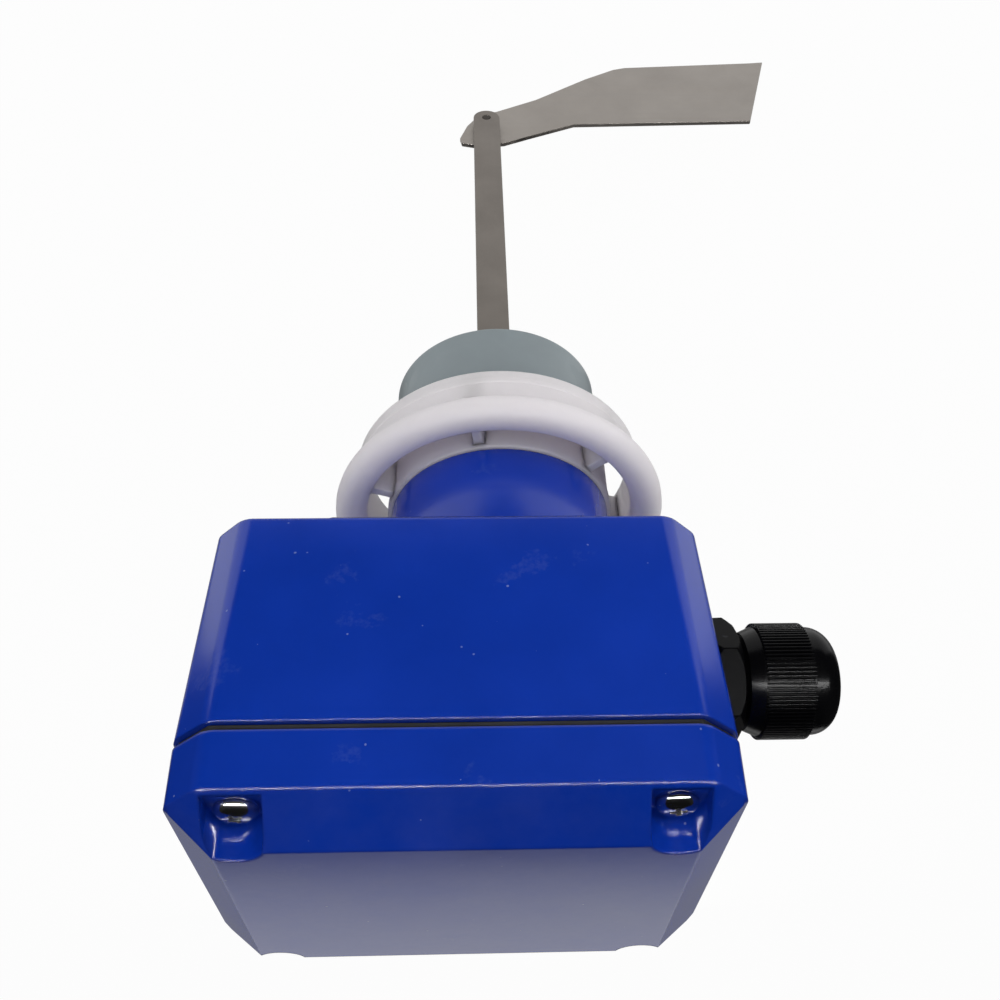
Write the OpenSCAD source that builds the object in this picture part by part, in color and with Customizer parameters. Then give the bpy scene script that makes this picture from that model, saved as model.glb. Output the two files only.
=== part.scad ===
// Rotary paddle level sensor for the roof of a silo.
// +Z is up. The shaft axis is the Z axis, and z = 0 is the plane where the hand nut meets the weld socket.
// The front of the case faces -Y, and the cable gland points to -X.

/* [Weld socket] */
// Outside diameter of the steel half socket
socket_d = 54.5; // [53:0.1:60]
// Length of the socket
socket_l = 26; // [24:0.5:40]
// Diameter over the pipe thread
thread_d = 47.6; // [47:0.1:48]

/* [Hand nut] */
// Height of the hand nut above the socket
nut_h = 17.7; // [16:0.1:24]
// Diameter of the hub
hub_d = 56.4; // [55.5:0.1:60]
// Outside diameter of the grip collar
collar_d = 73.6; // [72:0.1:80]
// Thickness of the grip collar
collar_t = 2.8; // [2:0.1:4]
// Radius of the rolled bead of the grip
bead_r = 4; // [3:0.1:5]
// How far the bead stands out from the collar's face, measured to its centre
bead_out = 0.8; // [0.2:0.1:2]
// Number of spokes
spoke_count = 6; // [5:1:9]
// Thickness of a spoke
spoke_t = 2.2; // [1.6:0.1:4]
// Depth to which the nut's thread enters the socket
thread_depth = 19; // [17.5:0.5:22]

/* [Case] */
// Width of the case at the seam
case_w = 105; // [104:0.5:112]
// Depth of the case at the seam
case_d = 79; // [78:0.5:88]
// How far the side walls draw in towards the neck, each side
case_draft = 1.2; // [0.4:0.1:2]
// Corner chamfer of the case
case_c = 7.5; // [5:0.1:9]
// Height of the lower case, neck face to seam
case_h = 47.2; // [46:0.1:56]
// Wall thickness of the castings
wall = 3.5; // [3:0.1:4]
// Thickness of the floor of the case
floor_t = 4; // [3.5:0.1:6]
// Distance of the case's centre from the shaft axis
case_off = 10.25; // [9:0.05:11]
// Height of the raised pad on the neck face
pad_h = 2.3; // [1:0.1:4]
// Width of the raised pad
pad_w = 70; // [64:1:80]
// Neck diameter
neck_d = 55; // [52:0.1:55.4]
// Neck length
neck_l = 29.2; // [28:0.1:36]
// Diameter of the spigot that carries the hand nut
spigot_d = 36; // [35:0.1:36.4]
// Length of the spigot below the neck
spigot_l = 31.7; // [31.2:0.1:33]

/* [Lid] */
// Height of the straight side band of the lid
lid_side = 10.9; // [9:0.1:16]
// Height of the bevel round the lid
bevel_h = 7.8; // [6:0.1:9]
// Width of the bevel, seen from above
bevel_w = 9.5; // [8:0.1:11]
// Thickness of the rubber gasket
gasket_t = 1.6; // [1:0.1:3]
// Screw thread diameter
screw_d = 4; // [3:0.5:4.5]
// Screw length under the head
screw_l = 26; // [22:1:34]
// Width of a screw pocket
pocket_w = 10.8; // [9:0.1:13]

/* [Cable gland] */
// Height of the gland's axis above the neck face
gland_up = 23.6; // [22:0.1:26]
// Distance of the gland's axis in front of the shaft
gland_fwd = 10; // [4:0.5:12]
// Entry thread diameter
entry_d = 20; // [19:0.5:20]
// Width across the flats of the gland's hexagon
gland_af = 24; // [23:0.5:26]
// Diameter of the gland's cap nut
cap_d = 25; // [24.6:0.1:27]
// Diameter of the cable way
cable_d = 12.3; // [10:0.1:12.6]
// Number of grip ribs on the cap nut
rib_count = 40; // [24:2:48]

/* [Shaft and paddle] */
// Shaft diameter in the bearings
shaft_d = 10; // [9:0.1:10.4]
// Width of the flat bar
bar_w = 9.6; // [8:0.1:10]
// Thickness of the flat bar
bar_t = 3; // [2:0.1:3.4]
// Distance of the paddle pin below the socket's lower end
pin_drop = 147.4; // [135:0.1:200]
// Diameter of the paddle pin
pin_d = 3; // [2.5:0.1:4]
// Thickness of the paddle sheet
sheet_t = 1.5; // [1:0.1:2]
// Reach of the paddle from its pin
blade_l = 114; // [100:0.5:118]
// Width of the paddle at its end
blade_w = 46; // [40:0.5:46]
// Width of the paddle's arm beside the pin
arm_w = 21; // [18:0.5:22]

/* [Bearings and seal] */
// Bearing outside diameter
bearing_od = 26; // [25:0.5:26]
// Bearing width
bearing_w = 8; // [7:0.5:8]
// Shaft seal width
seal_w = 6; // [5:0.5:6]

/* [Drive] */
// Diameter of the gear motor
motor_d = 50; // [46:0.5:50]
// Height of the motor's can
motor_h = 14; // [12:0.5:15]
// Height of the gearbox under the can
gear_h = 7; // [6:0.5:8]
// Height of the mounting plate above the case floor
plate_up = 7; // [6:0.5:8]
// Thickness of the steel plates
plate_t = 1.5; // [1.2:0.1:2]
// Swing of the drive when the paddle is blocked, in degrees
swing = 7; // [5:0.5:7]

/* [Switches] */
// Length of a microswitch
switch_l = 19.8; // [19:0.1:20]
// Depth of a microswitch
switch_w = 10.2; // [9.6:0.1:10.6]
// Thickness of a microswitch
switch_t = 6.4; // [6:0.1:6.6]
// Thickness of a switch lever
lever_t = 0.5; // [0.4:0.1:0.7]

/* [Fits] */
// Radial clearance of running fits
run_clear = 0.05; // [0.03:0.01:0.08]
// Radial clearance of the hand nut on the spigot and in the socket
nut_clear = 0.1; // [0.05:0.01:0.15]
// Gap between faces that move past each other
face_gap = 0.2; // [0.1:0.05:0.3]

/* [Hidden] */
$fn = 96;
e = 0.01;

// Heights along the shaft
z_neck = nut_h;
z_face = z_neck + neck_l;
z_floor = z_face + floor_t;
z_seam = z_face + case_h;
z_lid = z_seam + gasket_t;
z_bevel = z_lid + lid_side;
z_top = z_bevel + bevel_h;
z_spigot = z_neck - spigot_l;
z_pin = -socket_l - pin_drop;
z_plate = z_floor + plate_up;
z_swing = z_plate + plate_t + 1.5;
z_motor = z_swing + plate_t;
z_can = z_motor + gear_h;
z_motor_top = z_can + motor_h;

// Hand nut
bore_r = spigot_d / 2 + nut_clear;
socket_bore_r = thread_d / 2 + nut_clear;
hub_r = hub_d / 2;
collar_r = collar_d / 2;
bead_ring_r = collar_r + bead_out;
bead_z = nut_h - 2;
spoke_first = 11;

// Clip that holds the hand nut on the spigot
clip_t = 1.4;
clip_z = z_spigot + 2.6;
clip_r = spigot_d / 2 + 2.3;
clip_groove = 1.1;

// Ring seal between the spigot and the hand nut
oring_r = 0.95;
oring_z = nut_h / 2;

// Shaft line
shaft_r = shaft_d / 2;
shoulder_r = shaft_r + 1;
seal_z = z_spigot + 1.5;
low_bearing_z = seal_z + seal_w + 0.6;
top_bearing_z = z_floor - bearing_w - 5;
ring_t = 2.6;
ball_count = 8;
ball_ring_r = (bearing_od / 2 + shaft_r) / 2;
ball_r = (bearing_od / 2 - shaft_r - 2 * ring_t) / 2 + 0.9;
neck_end_r = 4;
sleeve_r = 7;
z_neck_end = top_bearing_z + bearing_w;
z_neck_top = z_floor + 3;
sleeve_low = z_neck_end + 1.4;
sleeve_top = z_motor - 0.4;
spindle_in = 4;
sleeve_screw_z = 4.6;
bar_top = z_spigot - 1;
bar_in = 9;
shaft_low = bar_top - 6;

// Case interior
boss_r = 5;
gland_seat_r = 14.5;
earth_x = case_off - 12;
earth_y = case_d / 2 - wall - 5;
post_r = 4;
screw_dx = case_w - 27;
screw_dy = case_d - 15.4;
post_dx = case_w - 21;
post_dy = 44;
screw_r = screw_d / 2;
pocket_floor = z_bevel - 0.4;
pocket_set = 1.4;
gland_z = z_face + gland_up;
gland_y = -gland_fwd;

// Gland along its own axis, measured outwards from the case wall
wall_x = case_off - case_w / 2;
washer_t = 1.5;
hex_t = 5.3;
hex_x = washer_t + hex_t;
cap_x = 8.3;
cap_cone = 2.8;
cap_ribs = 9;
cap_chamfer = 1.7;
cap_dome = 6.7;
locknut_t = 4.5;
locknut_af = gland_af + 2;
gland_wall = wall + case_draft;
body_in = gland_wall + locknut_t + 2;
stub_r = 10.3;
stub_l = 9;
seal_x = hex_x + 2;
seal_l = 16;
seal_r = cable_d / 2 + 2.15;

// Paddle outline, x away from the pin and z upwards from it, in the paddle's own plane
stop_gap = 0.3;
tail_x = 9.9;
washer_gap = 0.3;
blade_y = bar_t / 2 + washer_gap;

// Switching gear
tab_y = 0;
tab_pin_r = 1;
switch_y = tab_y + 8;
switch_x = case_off + case_w / 2 - wall - 1 - switch_l;
pivot_x = switch_x + switch_l - 2.4;
tab_r = motor_d / 2 + 15;
lever_arm = pivot_x - tab_r;
lever_rise = 6.9;
ear_t = 0.9;
lever_angle = atan((lever_rise - stop_gap) / lever_arm);
plunger_r = 0.9;
plunger_back = 3;
switch_z1 = z_swing + 3.2;
switch_z2 = switch_z1 + switch_t + 0.8;
arm_half = 7;
arm_back = 3.5;
stop_r = 1.6;
stop_x = tab_r - 4;
stop_h = z_motor - 0.3 - z_plate - plate_t;
spring_x = tab_r - 2;
anchor_r = 1.2;
spring_y0 = -post_dy / 2 + anchor_r;
spring_y1 = -arm_half + 0.2;
spring_z = z_swing + 5.6;
spring_r = 2.2;
wire_r = 0.35;
spring_turns = 9;
lead_r = 0.75;
board_z = z_motor_top + 4;
block_w = 14;
block_l = 42;
block_h = 11;
pole_count = 6;
pole_wall = 1.2;
pole_pitch = (block_l - pole_wall) / pole_count;
block_core = 4;
block_x = case_off - case_w / 2 + 15.25;
leg_y = 17;
leg_r = 2.4;

// Outline with four chamfered corners, centred on the origin
module chamfered(w, d, c) {
    polygon([[-w / 2 + c, -d / 2], [w / 2 - c, -d / 2], [w / 2, -d / 2 + c], [w / 2, d / 2 - c],
        [w / 2 - c, d / 2], [-w / 2 + c, d / 2], [-w / 2, d / 2 - c], [-w / 2, -d / 2 + c]]);
}

// Chamfered block that draws in by low_in at its lower end and by high_in at its upper end
module drafted(w, d, c, h, low_in, high_in) {
    shrink = 2 - sqrt(2);
    hull() {
        linear_extrude(e) chamfered(w - 2 * low_in, d - 2 * low_in, c - low_in * shrink);
        translate([0, 0, h - e])
            linear_extrude(e) chamfered(w - 2 * high_in, d - 2 * high_in, c - high_in * shrink);
    }
}

// Unit vector along v
function unit(v) = v / norm(v);

// Smooth curve through the points p, with a number of steps between each pair
function curve(p, steps) = concat([for (i = [0 : len(p) - 2], k = [0 : steps - 1])
    let (a = p[max(i - 1, 0)], b = p[i], c = p[i + 1], d = p[min(i + 2, len(p) - 1)], t = k / steps)
        (2 * b + (c - a) * t + (2 * a - 5 * b + 4 * c - d) * t * t
            + (3 * b - a - 3 * c + d) * t * t * t) / 2], [p[len(p) - 1]]);

// Direction of a route at each of its points
function along(p) = [for (i = [0 : len(p) - 1]) unit(p[min(i + 1, len(p) - 1)] - p[max(i - 1, 0)])];

// Sideways direction at each point, carried along the route without twist from the direction n
function sideways(t, n, i = 0) = i == len(t) ? []
    : let (m = unit(n - (n * t[i]) * t[i])) concat([m], sideways(t, m, i + 1));

// Wire of radius r along the points p, starting sideways at n
module swept(p, r, sides, n) {
    t = along(p);
    u = sideways(t, n);
    rings = [for (i = [0 : len(p) - 1], k = [0 : sides - 1])
        p[i] + r * (cos(k * 360 / sides) * u[i] + sin(k * 360 / sides) * cross(t[i], u[i]))];
    last = len(p) - 1;
    polyhedron(points = rings, convexity = 8, faces = concat(
        [[for (k = [0 : sides - 1]) k]],
        [for (i = [0 : last - 1], k = [0 : sides - 1]) let (next = (k + 1) % sides)
            [i * sides + k, (i + 1) * sides + k, (i + 1) * sides + next, i * sides + next]],
        [[for (k = [0 : sides - 1]) last * sides + sides - 1 - k]]));
}

// Flat ring or tube standing on z = 0
module tube(r_out, r_in, h) {
    difference() {
        cylinder(r = r_out, h = h);
        translate([0, 0, -1]) cylinder(r = r_in, h = h + 2);
    }
}

// Ring of round section
module torus(r_ring, r_wire) {
    rotate_extrude() translate([r_ring, 0]) circle(r = r_wire, $fn = 32);
}

// Places its children at the four corners of a rectangle
module corners(dx, dy) {
    for (sx = [-1, 1], sy = [-1, 1]) translate([sx * dx / 2, sy * dy / 2, 0]) children();
}

// Turns the gland's own axis, which runs along +Z from the wall, to point out along -X
module on_gland_axis() {
    translate([wall_x, gland_y, gland_z]) rotate([0, -90, 0]) children();
}

// Screw with a pan head and a cross recess, its head standing on z = 0
module pan_screw(d, l) {
    head = d;
    difference() {
        union() {
            translate([0, 0, -l]) cylinder(d = d, h = l + e, $fn = 32);
            cylinder(r = head, h = d * 0.45, $fn = 48);
            translate([0, 0, d * 0.45]) intersection() {
                cylinder(r = head, h = d * 0.3, $fn = 48);
                translate([0, 0, -head * 1.2]) sphere(r = head * 1.5, $fn = 64);
            }
        }
        for (turn = [0, 90]) rotate([0, 0, turn])
            translate([-head * 0.55, -d * 0.09, d * 0.3]) cube([head * 1.1, d * 0.18, d]);
    }
}

// Small cheese head screw with a slot, its head standing on z = 0
module slot_screw(d, l) {
    difference() {
        union() {
            translate([0, 0, -l]) cylinder(d = d, h = l + e, $fn = 24);
            cylinder(r = d * 0.9, h = d * 0.6, $fn = 32);
        }
        translate([-d, -d * 0.12, d * 0.35]) cube([2 * d, d * 0.24, d]);
    }
}

module weld_socket() {
    edge = 1;
    color("lightsteelblue") rotate_extrude() translate([0, -socket_l])
        polygon([[socket_bore_r + edge, 0], [socket_d / 2 - edge, 0], [socket_d / 2, edge],
            [socket_d / 2, socket_l], [socket_bore_r, socket_l], [socket_bore_r, edge]]);
}

module hand_nut() {
    top = nut_h - face_gap;
    pocket_z = clip_z + clip_t + face_gap;
    color("white") {
        rotate_extrude() {
            // Hub, and the threaded spigot under it
            translate([bore_r, 0]) square([hub_r - bore_r, top]);
            translate([bore_r, pocket_z]) square([thread_d / 2 - bore_r, e - pocket_z]);
            translate([clip_r + 0.6, -thread_depth])
                square([thread_d / 2 - clip_r - 0.6, thread_depth + e]);
            // Collar and rolled bead
            translate([collar_r - collar_t, 1]) square([collar_t, bead_z - 1]);
            translate([collar_r - collar_t, 0]) square([collar_t - 1, 1 + e]);
            translate([collar_r - 1, 1]) circle(r = 1, $fn = 32);
            translate([bead_ring_r, bead_z]) circle(r = bead_r, $fn = 64);
        }
        for (i = [0 : spoke_count - 1])
            rotate([0, 0, -90 + spoke_first + i * 360 / spoke_count])
                translate([hub_r - 1, -spoke_t / 2, 1.2])
                    cube([collar_r - collar_t - hub_r + 2, spoke_t, top - 2.2]);
    }
}

module housing_base() {
    color("mediumblue") difference() {
        union() {
            difference() {
                union() {
                    translate([case_off, 0, z_face])
                        drafted(case_w, case_d, case_c, case_h, case_draft, 0);
                    translate([case_off, 0, z_face - pad_h])
                        drafted(pad_w, case_d - 3, case_c, pad_h + e, pad_h, 0);
                }
                translate([case_off, 0, z_floor])
                    drafted(case_w - 2 * wall, case_d - 2 * wall, case_c - 1.5, case_h, case_draft, 0);
            }
            translate([0, 0, z_neck]) cylinder(d = neck_d, h = neck_l + e);
            translate([0, 0, z_spigot]) cylinder(d = spigot_d, h = spigot_l + e);
            // Corner pillars for the lid screws
            translate([case_off, 0, z_floor - e]) corners(screw_dx, screw_dy)
                cylinder(r = boss_r, h = z_seam - z_floor + e);
            // Short posts for the mounting plate
            translate([case_off, 0, z_floor - e]) corners(post_dx, post_dy)
                cylinder(r = post_r, h = plate_up + e);
            // Flat seats for the gland, outside and inside the drafted wall
            on_gland_axis() translate([0, 0, -gland_wall]) cylinder(r = gland_seat_r, h = gland_wall);
            // Earth boss
            translate([earth_x, earth_y, z_floor - e]) cylinder(r = 4, h = 4);
        }
        // Way for the shaft, bearing seats and the seal's seat
        translate([0, 0, z_spigot - 1]) cylinder(r = shoulder_r + 1.4, h = z_floor - z_spigot + 2);
        translate([0, 0, z_spigot - 1])
            cylinder(d = bearing_od, h = low_bearing_z + bearing_w - z_spigot + 1);
        translate([0, 0, top_bearing_z]) cylinder(d = bearing_od, h = z_floor - top_bearing_z + 1);
        // Grooves in the spigot for the ring seal and the clip
        translate([0, 0, oring_z - oring_r - 0.2])
            tube(spigot_d / 2 + 1, spigot_d / 2 - 2 * oring_r + 0.05, 2 * oring_r + 0.4);
        translate([0, 0, clip_z]) tube(spigot_d / 2 + 1, spigot_d / 2 - clip_groove, clip_t);
        // Gland entry
        on_gland_axis() translate([0, 0, -gland_wall - 4]) cylinder(d = entry_d + 0.4, h = gland_wall + 8);
        // Tapped holes
        translate([case_off, 0, pocket_floor - screw_l - 1.5]) corners(screw_dx, screw_dy)
            cylinder(r = screw_r + run_clear, h = screw_l + 10, $fn = 32);
        translate([case_off, 0, z_plate - 6]) corners(post_dx, post_dy) cylinder(d = 3, h = 7, $fn = 32);
        translate([earth_x, earth_y, z_floor - 1]) cylinder(d = 4, h = 6, $fn = 32);
    }
}

module spigot_oring() {
    color("black") translate([0, 0, oring_z]) torus(spigot_d / 2 - oring_r + 0.05, oring_r);
}

module spigot_clip() {
    color("silver") translate([0, 0, clip_z + 0.05]) difference() {
        tube(clip_r, spigot_d / 2 - clip_groove + 0.05, clip_t - 0.1);
        translate([0, -2, -1]) cube([spigot_d, 4, clip_t + 2]);
    }
}

module bearing_outer(z) {
    translate([0, 0, z]) difference() {
        tube(bearing_od / 2, bearing_od / 2 - ring_t, bearing_w);
        translate([0, 0, bearing_w / 2]) torus(ball_ring_r, ball_r + run_clear);
    }
}

module bearing_inner(z) {
    translate([0, 0, z]) difference() {
        tube(shaft_r + ring_t, shaft_r, bearing_w);
        translate([0, 0, bearing_w / 2]) torus(ball_ring_r, ball_r + run_clear);
    }
}

module bearing_outer_rings() {
    color("silver") for (z = [low_bearing_z, top_bearing_z]) bearing_outer(z);
}

module bearing_inner_rings() {
    color("gainsboro") for (z = [low_bearing_z, top_bearing_z]) bearing_inner(z);
}

module bearing_balls() {
    color("white") for (z = [low_bearing_z, top_bearing_z], i = [0 : ball_count - 1])
        translate([0, 0, z + bearing_w / 2]) rotate([0, 0, i * 360 / ball_count])
            translate([ball_ring_r, 0, 0]) sphere(r = ball_r, $fn = 32);
}

module shaft_seal() {
    lip_r = shaft_r + run_clear;
    color("dimgray") translate([0, 0, seal_z]) rotate_extrude()
        polygon([[lip_r, 2], [lip_r + 1.6, 0], [bearing_od / 2, 0], [bearing_od / 2, seal_w],
            [bearing_od / 2 - 2, seal_w], [bearing_od / 2 - 2, 2], [lip_r + 1.6, 2.6], [lip_r, 2.6]]);
}

module shaft() {
    color("silver") difference() {
        union() {
            translate([0, 0, shaft_low]) cylinder(r = shaft_r, h = z_neck_end + 1.2 - shaft_low);
            translate([0, 0, low_bearing_z + bearing_w])
                cylinder(r = shoulder_r, h = top_bearing_z - low_bearing_z - bearing_w);
            translate([0, 0, z_neck_end]) cylinder(r = neck_end_r, h = z_neck_top - z_neck_end);
        }
        // Groove for the circlip
        translate([0, 0, z_neck_end]) tube(shaft_r + 1, shaft_r - 0.5, 1);
        // Slot for the flat bar, and its cross hole
        translate([-shaft_r - 1, -bar_t / 2, shaft_low - 1])
            cube([2 * shaft_r + 2, bar_t, bar_in + 1]);
        translate([0, 0, bar_top - 1.5]) rotate([90, 0, 0])
            cylinder(d = pin_d, h = 2 * shaft_r + 2, center = true, $fn = 32);
    }
}

module shaft_circlip() {
    color("gray") translate([0, 0, z_neck_end + 0.05]) difference() {
        tube(shaft_r + 1.6, shaft_r - 0.45, 0.9);
        translate([0, -1.2, -1]) cube([shaft_r + 3, 2.4, 3]);
    }
}

module drive_sleeve() {
    color("goldenrod") translate([0, 0, sleeve_low]) difference() {
        tube(sleeve_r, neck_end_r, sleeve_top - sleeve_low);
        for (turn = [0, 90]) rotate([0, 0, turn]) translate([0, 0, sleeve_screw_z])
            rotate([0, 90, 0]) cylinder(d = 3, h = sleeve_r + 1, $fn = 24);
    }
}

module sleeve_screws() {
    color("dimgray") for (turn = [0, 90]) rotate([0, 0, turn])
        translate([neck_end_r, 0, sleeve_low + sleeve_screw_z]) rotate([0, 90, 0]) difference() {
            cylinder(d = 3, h = sleeve_r - neck_end_r - 0.2, $fn = 24);
            translate([0, 0, 1.2]) cylinder(d = 1.5, h = 3, $fn = 6);
        }
}

// Output spindle of the gear motor, held in the upper half of the drive sleeve
module output_spindle() {
    color("gainsboro") translate([0, 0, z_neck_top + face_gap])
        cylinder(r = neck_end_r, h = z_motor + spindle_in - z_neck_top - face_gap);
}

module shaft_bar() {
    round_r = bar_w / 2;
    top = shaft_low + bar_in - 0.3;
    color("darkgray") difference() {
        union() {
            translate([-bar_w / 2, -bar_t / 2, z_pin]) cube([bar_w, bar_t, top - z_pin]);
            translate([0, 0, z_pin]) rotate([90, 0, 0]) cylinder(r = round_r, h = bar_t, center = true);
        }
        for (z = [z_pin, bar_top - 1.5]) translate([0, 0, z]) rotate([90, 0, 0])
            cylinder(d = pin_d, h = bar_t + 2, center = true, $fn = 32);
    }
}

module bar_pin() {
    color("silver") translate([0, 0, bar_top - 1.5]) rotate([90, 0, 0])
        cylinder(d = pin_d, h = 2 * shaft_r - 0.6, center = true, $fn = 32);
}

module paddle_pin() {
    color("silver") translate([0, 0, z_pin]) rotate([-90, 0, 0]) {
        translate([0, 0, -bar_t / 2]) cylinder(d = pin_d, h = blade_y + sheet_t + bar_t / 2 + 0.4, $fn = 32);
        translate([0, 0, blade_y + sheet_t + 0.3]) cylinder(r = pin_d * 0.9, h = 1, $fn = 32);
    }
}

module paddle_washer() {
    color("silver") translate([0, bar_t / 2, z_pin]) rotate([-90, 0, 0]) tube(pin_d, pin_d / 2, washer_gap);
}

// Outline of the paddle: a wide end panel, an arm that narrows to the pin, and a short tail
module paddle_outline() {
    low = 9.6 - arm_w;
    polygon([[1.9, 8.6], [7.3, -0.7], [tail_x, low + 2.5], [tail_x - 0.7, low - 0.8], [4.4, low - 2.1],
        [-6.3, low - 0.7], [-15.7, -7.3], [-33, 1.1], [-blade_l + 13.4, 4.2],
        [-blade_l + 0.4, blade_w + 3], [-blade_l + 6, blade_w + 2.2], [-blade_l + 57.6, blade_w - 2.4],
        [-blade_l + 62.4, blade_w - 4], [-39.8, blade_w - 11.6], [-19.5, 18.6], [-3.8, 9.6]]);
}

module paddle() {
    color("rosybrown") translate([0, 0, z_pin]) rotate([90, 0, 0]) difference() {
        translate([0, 0, -blade_y - sheet_t]) linear_extrude(sheet_t) mirror([0, 1, 0]) paddle_outline();
        cylinder(r = pin_d / 2 + run_clear, h = 40, center = true, $fn = 32);
    }
}

module lid_gasket() {
    set_in = 1.1;
    color("black") translate([case_off, 0, z_seam]) linear_extrude(gasket_t) difference() {
        chamfered(case_w - 2 * set_in, case_d - 2 * set_in, case_c - set_in * 0.6);
        chamfered(case_w - 2 * wall - 1, case_d - 2 * wall - 1, case_c - 2);
    }
}

module lid() {
    inner_h = lid_side + bevel_h - wall;
    reach = (case_d - screw_dy) / 2 - pocket_set;
    color("mediumblue") difference() {
        translate([case_off, 0, 0]) {
            translate([0, 0, z_lid]) drafted(case_w, case_d, case_c, lid_side + e, 0, 0.3);
            translate([0, 0, z_bevel]) drafted(case_w, case_d, case_c, bevel_h, 0.3, bevel_w);
        }
        // Hollow, with a thick pillar left round each screw pocket
        translate([case_off, 0, z_lid - e]) difference() {
            union() {
                linear_extrude(lid_side - 1) chamfered(case_w - 2 * wall, case_d - 2 * wall, case_c - 1.5);
                linear_extrude(inner_h) chamfered(case_w - 2 * bevel_w - 2 * wall + 4,
                    case_d - 2 * bevel_w - 2 * wall + 4, case_c - 3);
            }
            translate([0, 0, -1]) corners(screw_dx, screw_dy) cylinder(r = pocket_w / 2 + 2, h = inner_h + 2);
        }
        // Screw pockets, open above the bevel and round at their inner end
        translate([case_off, 0, pocket_floor]) for (sx = [-1, 1], sy = [-1, 1])
            translate([sx * screw_dx / 2, sy * screw_dy / 2, 0]) {
                cylinder(d = pocket_w, h = bevel_h + 4);
                translate([-pocket_w / 2, sy > 0 ? 0 : -reach, 0]) cube([pocket_w, reach, bevel_h + 4]);
            }
        translate([case_off, 0, z_lid - 1]) corners(screw_dx, screw_dy)
            cylinder(r = screw_r + 0.2, h = lid_side + bevel_h, $fn = 32);
    }
}

module lid_screws() {
    color("silver") translate([case_off, 0, pocket_floor]) corners(screw_dx, screw_dy)
        pan_screw(screw_d, screw_l);
}

module gland_washer() {
    color("black") on_gland_axis() tube(gland_af / 2, entry_d / 2 + 0.1, washer_t);
}

module gland_body() {
    color("#1c1c1e") on_gland_axis() difference() {
        union() {
            translate([0, 0, -body_in]) cylinder(d = entry_d, h = body_in + washer_t + e);
            translate([0, 0, washer_t]) intersection() {
                rotate([0, 0, 30]) cylinder(d = gland_af / cos(30), h = hex_t, $fn = 6);
                translate([0, 0, -3]) cylinder(r1 = gland_af, r2 = gland_af / 2 + 0.6, h = hex_t + 3, $fn = 64);
            }
            translate([0, 0, hex_x - e]) cylinder(r = stub_r, h = stub_l);
        }
        translate([0, 0, -body_in - 1]) cylinder(r = cable_d / 2 + 0.9, h = body_in + hex_x + stub_l + 2);
        translate([0, 0, seal_x - e]) cylinder(r = seal_r + 0.05, h = stub_l + hex_x);
    }
}

module gland_locknut() {
    color("#222224") on_gland_axis() translate([0, 0, -gland_wall - locknut_t]) difference() {
        rotate([0, 0, 30]) cylinder(d = locknut_af / cos(30), h = locknut_t, $fn = 6);
        translate([0, 0, -1]) cylinder(d = entry_d, h = locknut_t + 2);
    }
}

module gland_seal() {
    color("black") on_gland_axis() translate([0, 0, seal_x]) tube(seal_r, cable_d / 2, seal_l);
}

module gland_cap() {
    flat_z = cap_x + cap_cone;
    dome_z = flat_z + cap_ribs + cap_chamfer;
    r = cap_d / 2;
    inner_r = stub_r + run_clear;
    mouth_r = cable_d / 2 + 0.4;
    // Arc of the round nose, from its foot to the mouth
    dome_r = r - 0.9;
    mouth_turn = acos((mouth_r - dome_r + cap_dome) / cap_dome);
    arc = [for (k = [1 : 7]) let (turn = mouth_turn * k / 7)
        [dome_r - cap_dome + cap_dome * cos(turn), dome_z + cap_dome * sin(turn)]];
    recess = seal_x + seal_l + 0.2;
    color("#1c1c1e") on_gland_axis() {
        rotate_extrude() polygon(concat(
            [[inner_r, cap_x], [r - 2, cap_x], [r - 0.5, flat_z], [r - 0.5, flat_z + cap_ribs], [dome_r, dome_z]],
            arc, [[mouth_r, recess], [seal_r + 0.15, recess], [seal_r + 0.15, dome_z], [inner_r, dome_z]]));
        for (i = [0 : rib_count - 1]) rotate([0, 0, i * 360 / rib_count])
            translate([r - 0.8, -0.45, flat_z + 0.3]) cube([0.8, 0.9, cap_ribs - 0.6]);
    }
}

module mounting_plate() {
    color("lightgray") translate([case_off, 0, z_plate]) linear_extrude(plate_t) difference() {
        chamfered(post_dx + 11, post_dy + 9, 6);
        translate([-case_off, 0]) circle(r = sleeve_r + 2.5);
        for (sx = [-1, 1], sy = [-1, 1]) translate([sx * post_dx / 2, sy * post_dy / 2])
            circle(d = 3.4, $fn = 32);
        // Notch that clears the gland's locknut
        translate([-post_dx / 2 - 6, -gland_fwd - locknut_af * 0.36])
            square([wall_x + gland_wall + locknut_t + 0.5 - case_off + post_dx / 2 + 6, locknut_af * 0.72]);
    }
}

module plate_screws() {
    color("silver") translate([case_off, 0, z_plate + plate_t]) corners(post_dx, post_dy) slot_screw(3, 6.5);
}

module pivot_bush() {
    inner = sleeve_r + 0.5;
    outer = sleeve_r + 2.5;
    color("goldenrod") translate([0, 0, z_plate]) {
        tube(outer, inner, z_motor - z_plate - 0.2);
        translate([0, 0, plate_t]) tube(outer + 2, inner, z_swing - z_plate - plate_t - 0.1);
    }
}

module swing_plate() {
    color("silver") {
        translate([0, 0, z_swing]) linear_extrude(plate_t) difference() {
            union() {
                translate([case_off, 0]) circle(d = motor_d - 4);
                translate([0, -arm_half]) square([tab_r + 1, arm_half + arm_back]);
            }
            circle(r = sleeve_r + 2.5 + run_clear);
            for (turn = [45 : 90 : 315]) translate([case_off, 0]) rotate(turn)
                translate([motor_d / 2 - 5, 0]) circle(d = 3, $fn = 24);
        }
        // Upright pin that works the switch levers, and the spring's anchor
        translate([tab_r, tab_y - tab_pin_r, z_swing])
            cylinder(r = tab_pin_r, h = switch_z2 + switch_t - z_swing, $fn = 32);
        translate([spring_x, spring_y1 + anchor_r + wire_r + 0.1, z_swing])
            cylinder(r = anchor_r, h = spring_z + 1.5 - z_swing, $fn = 32);
    }
}

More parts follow.
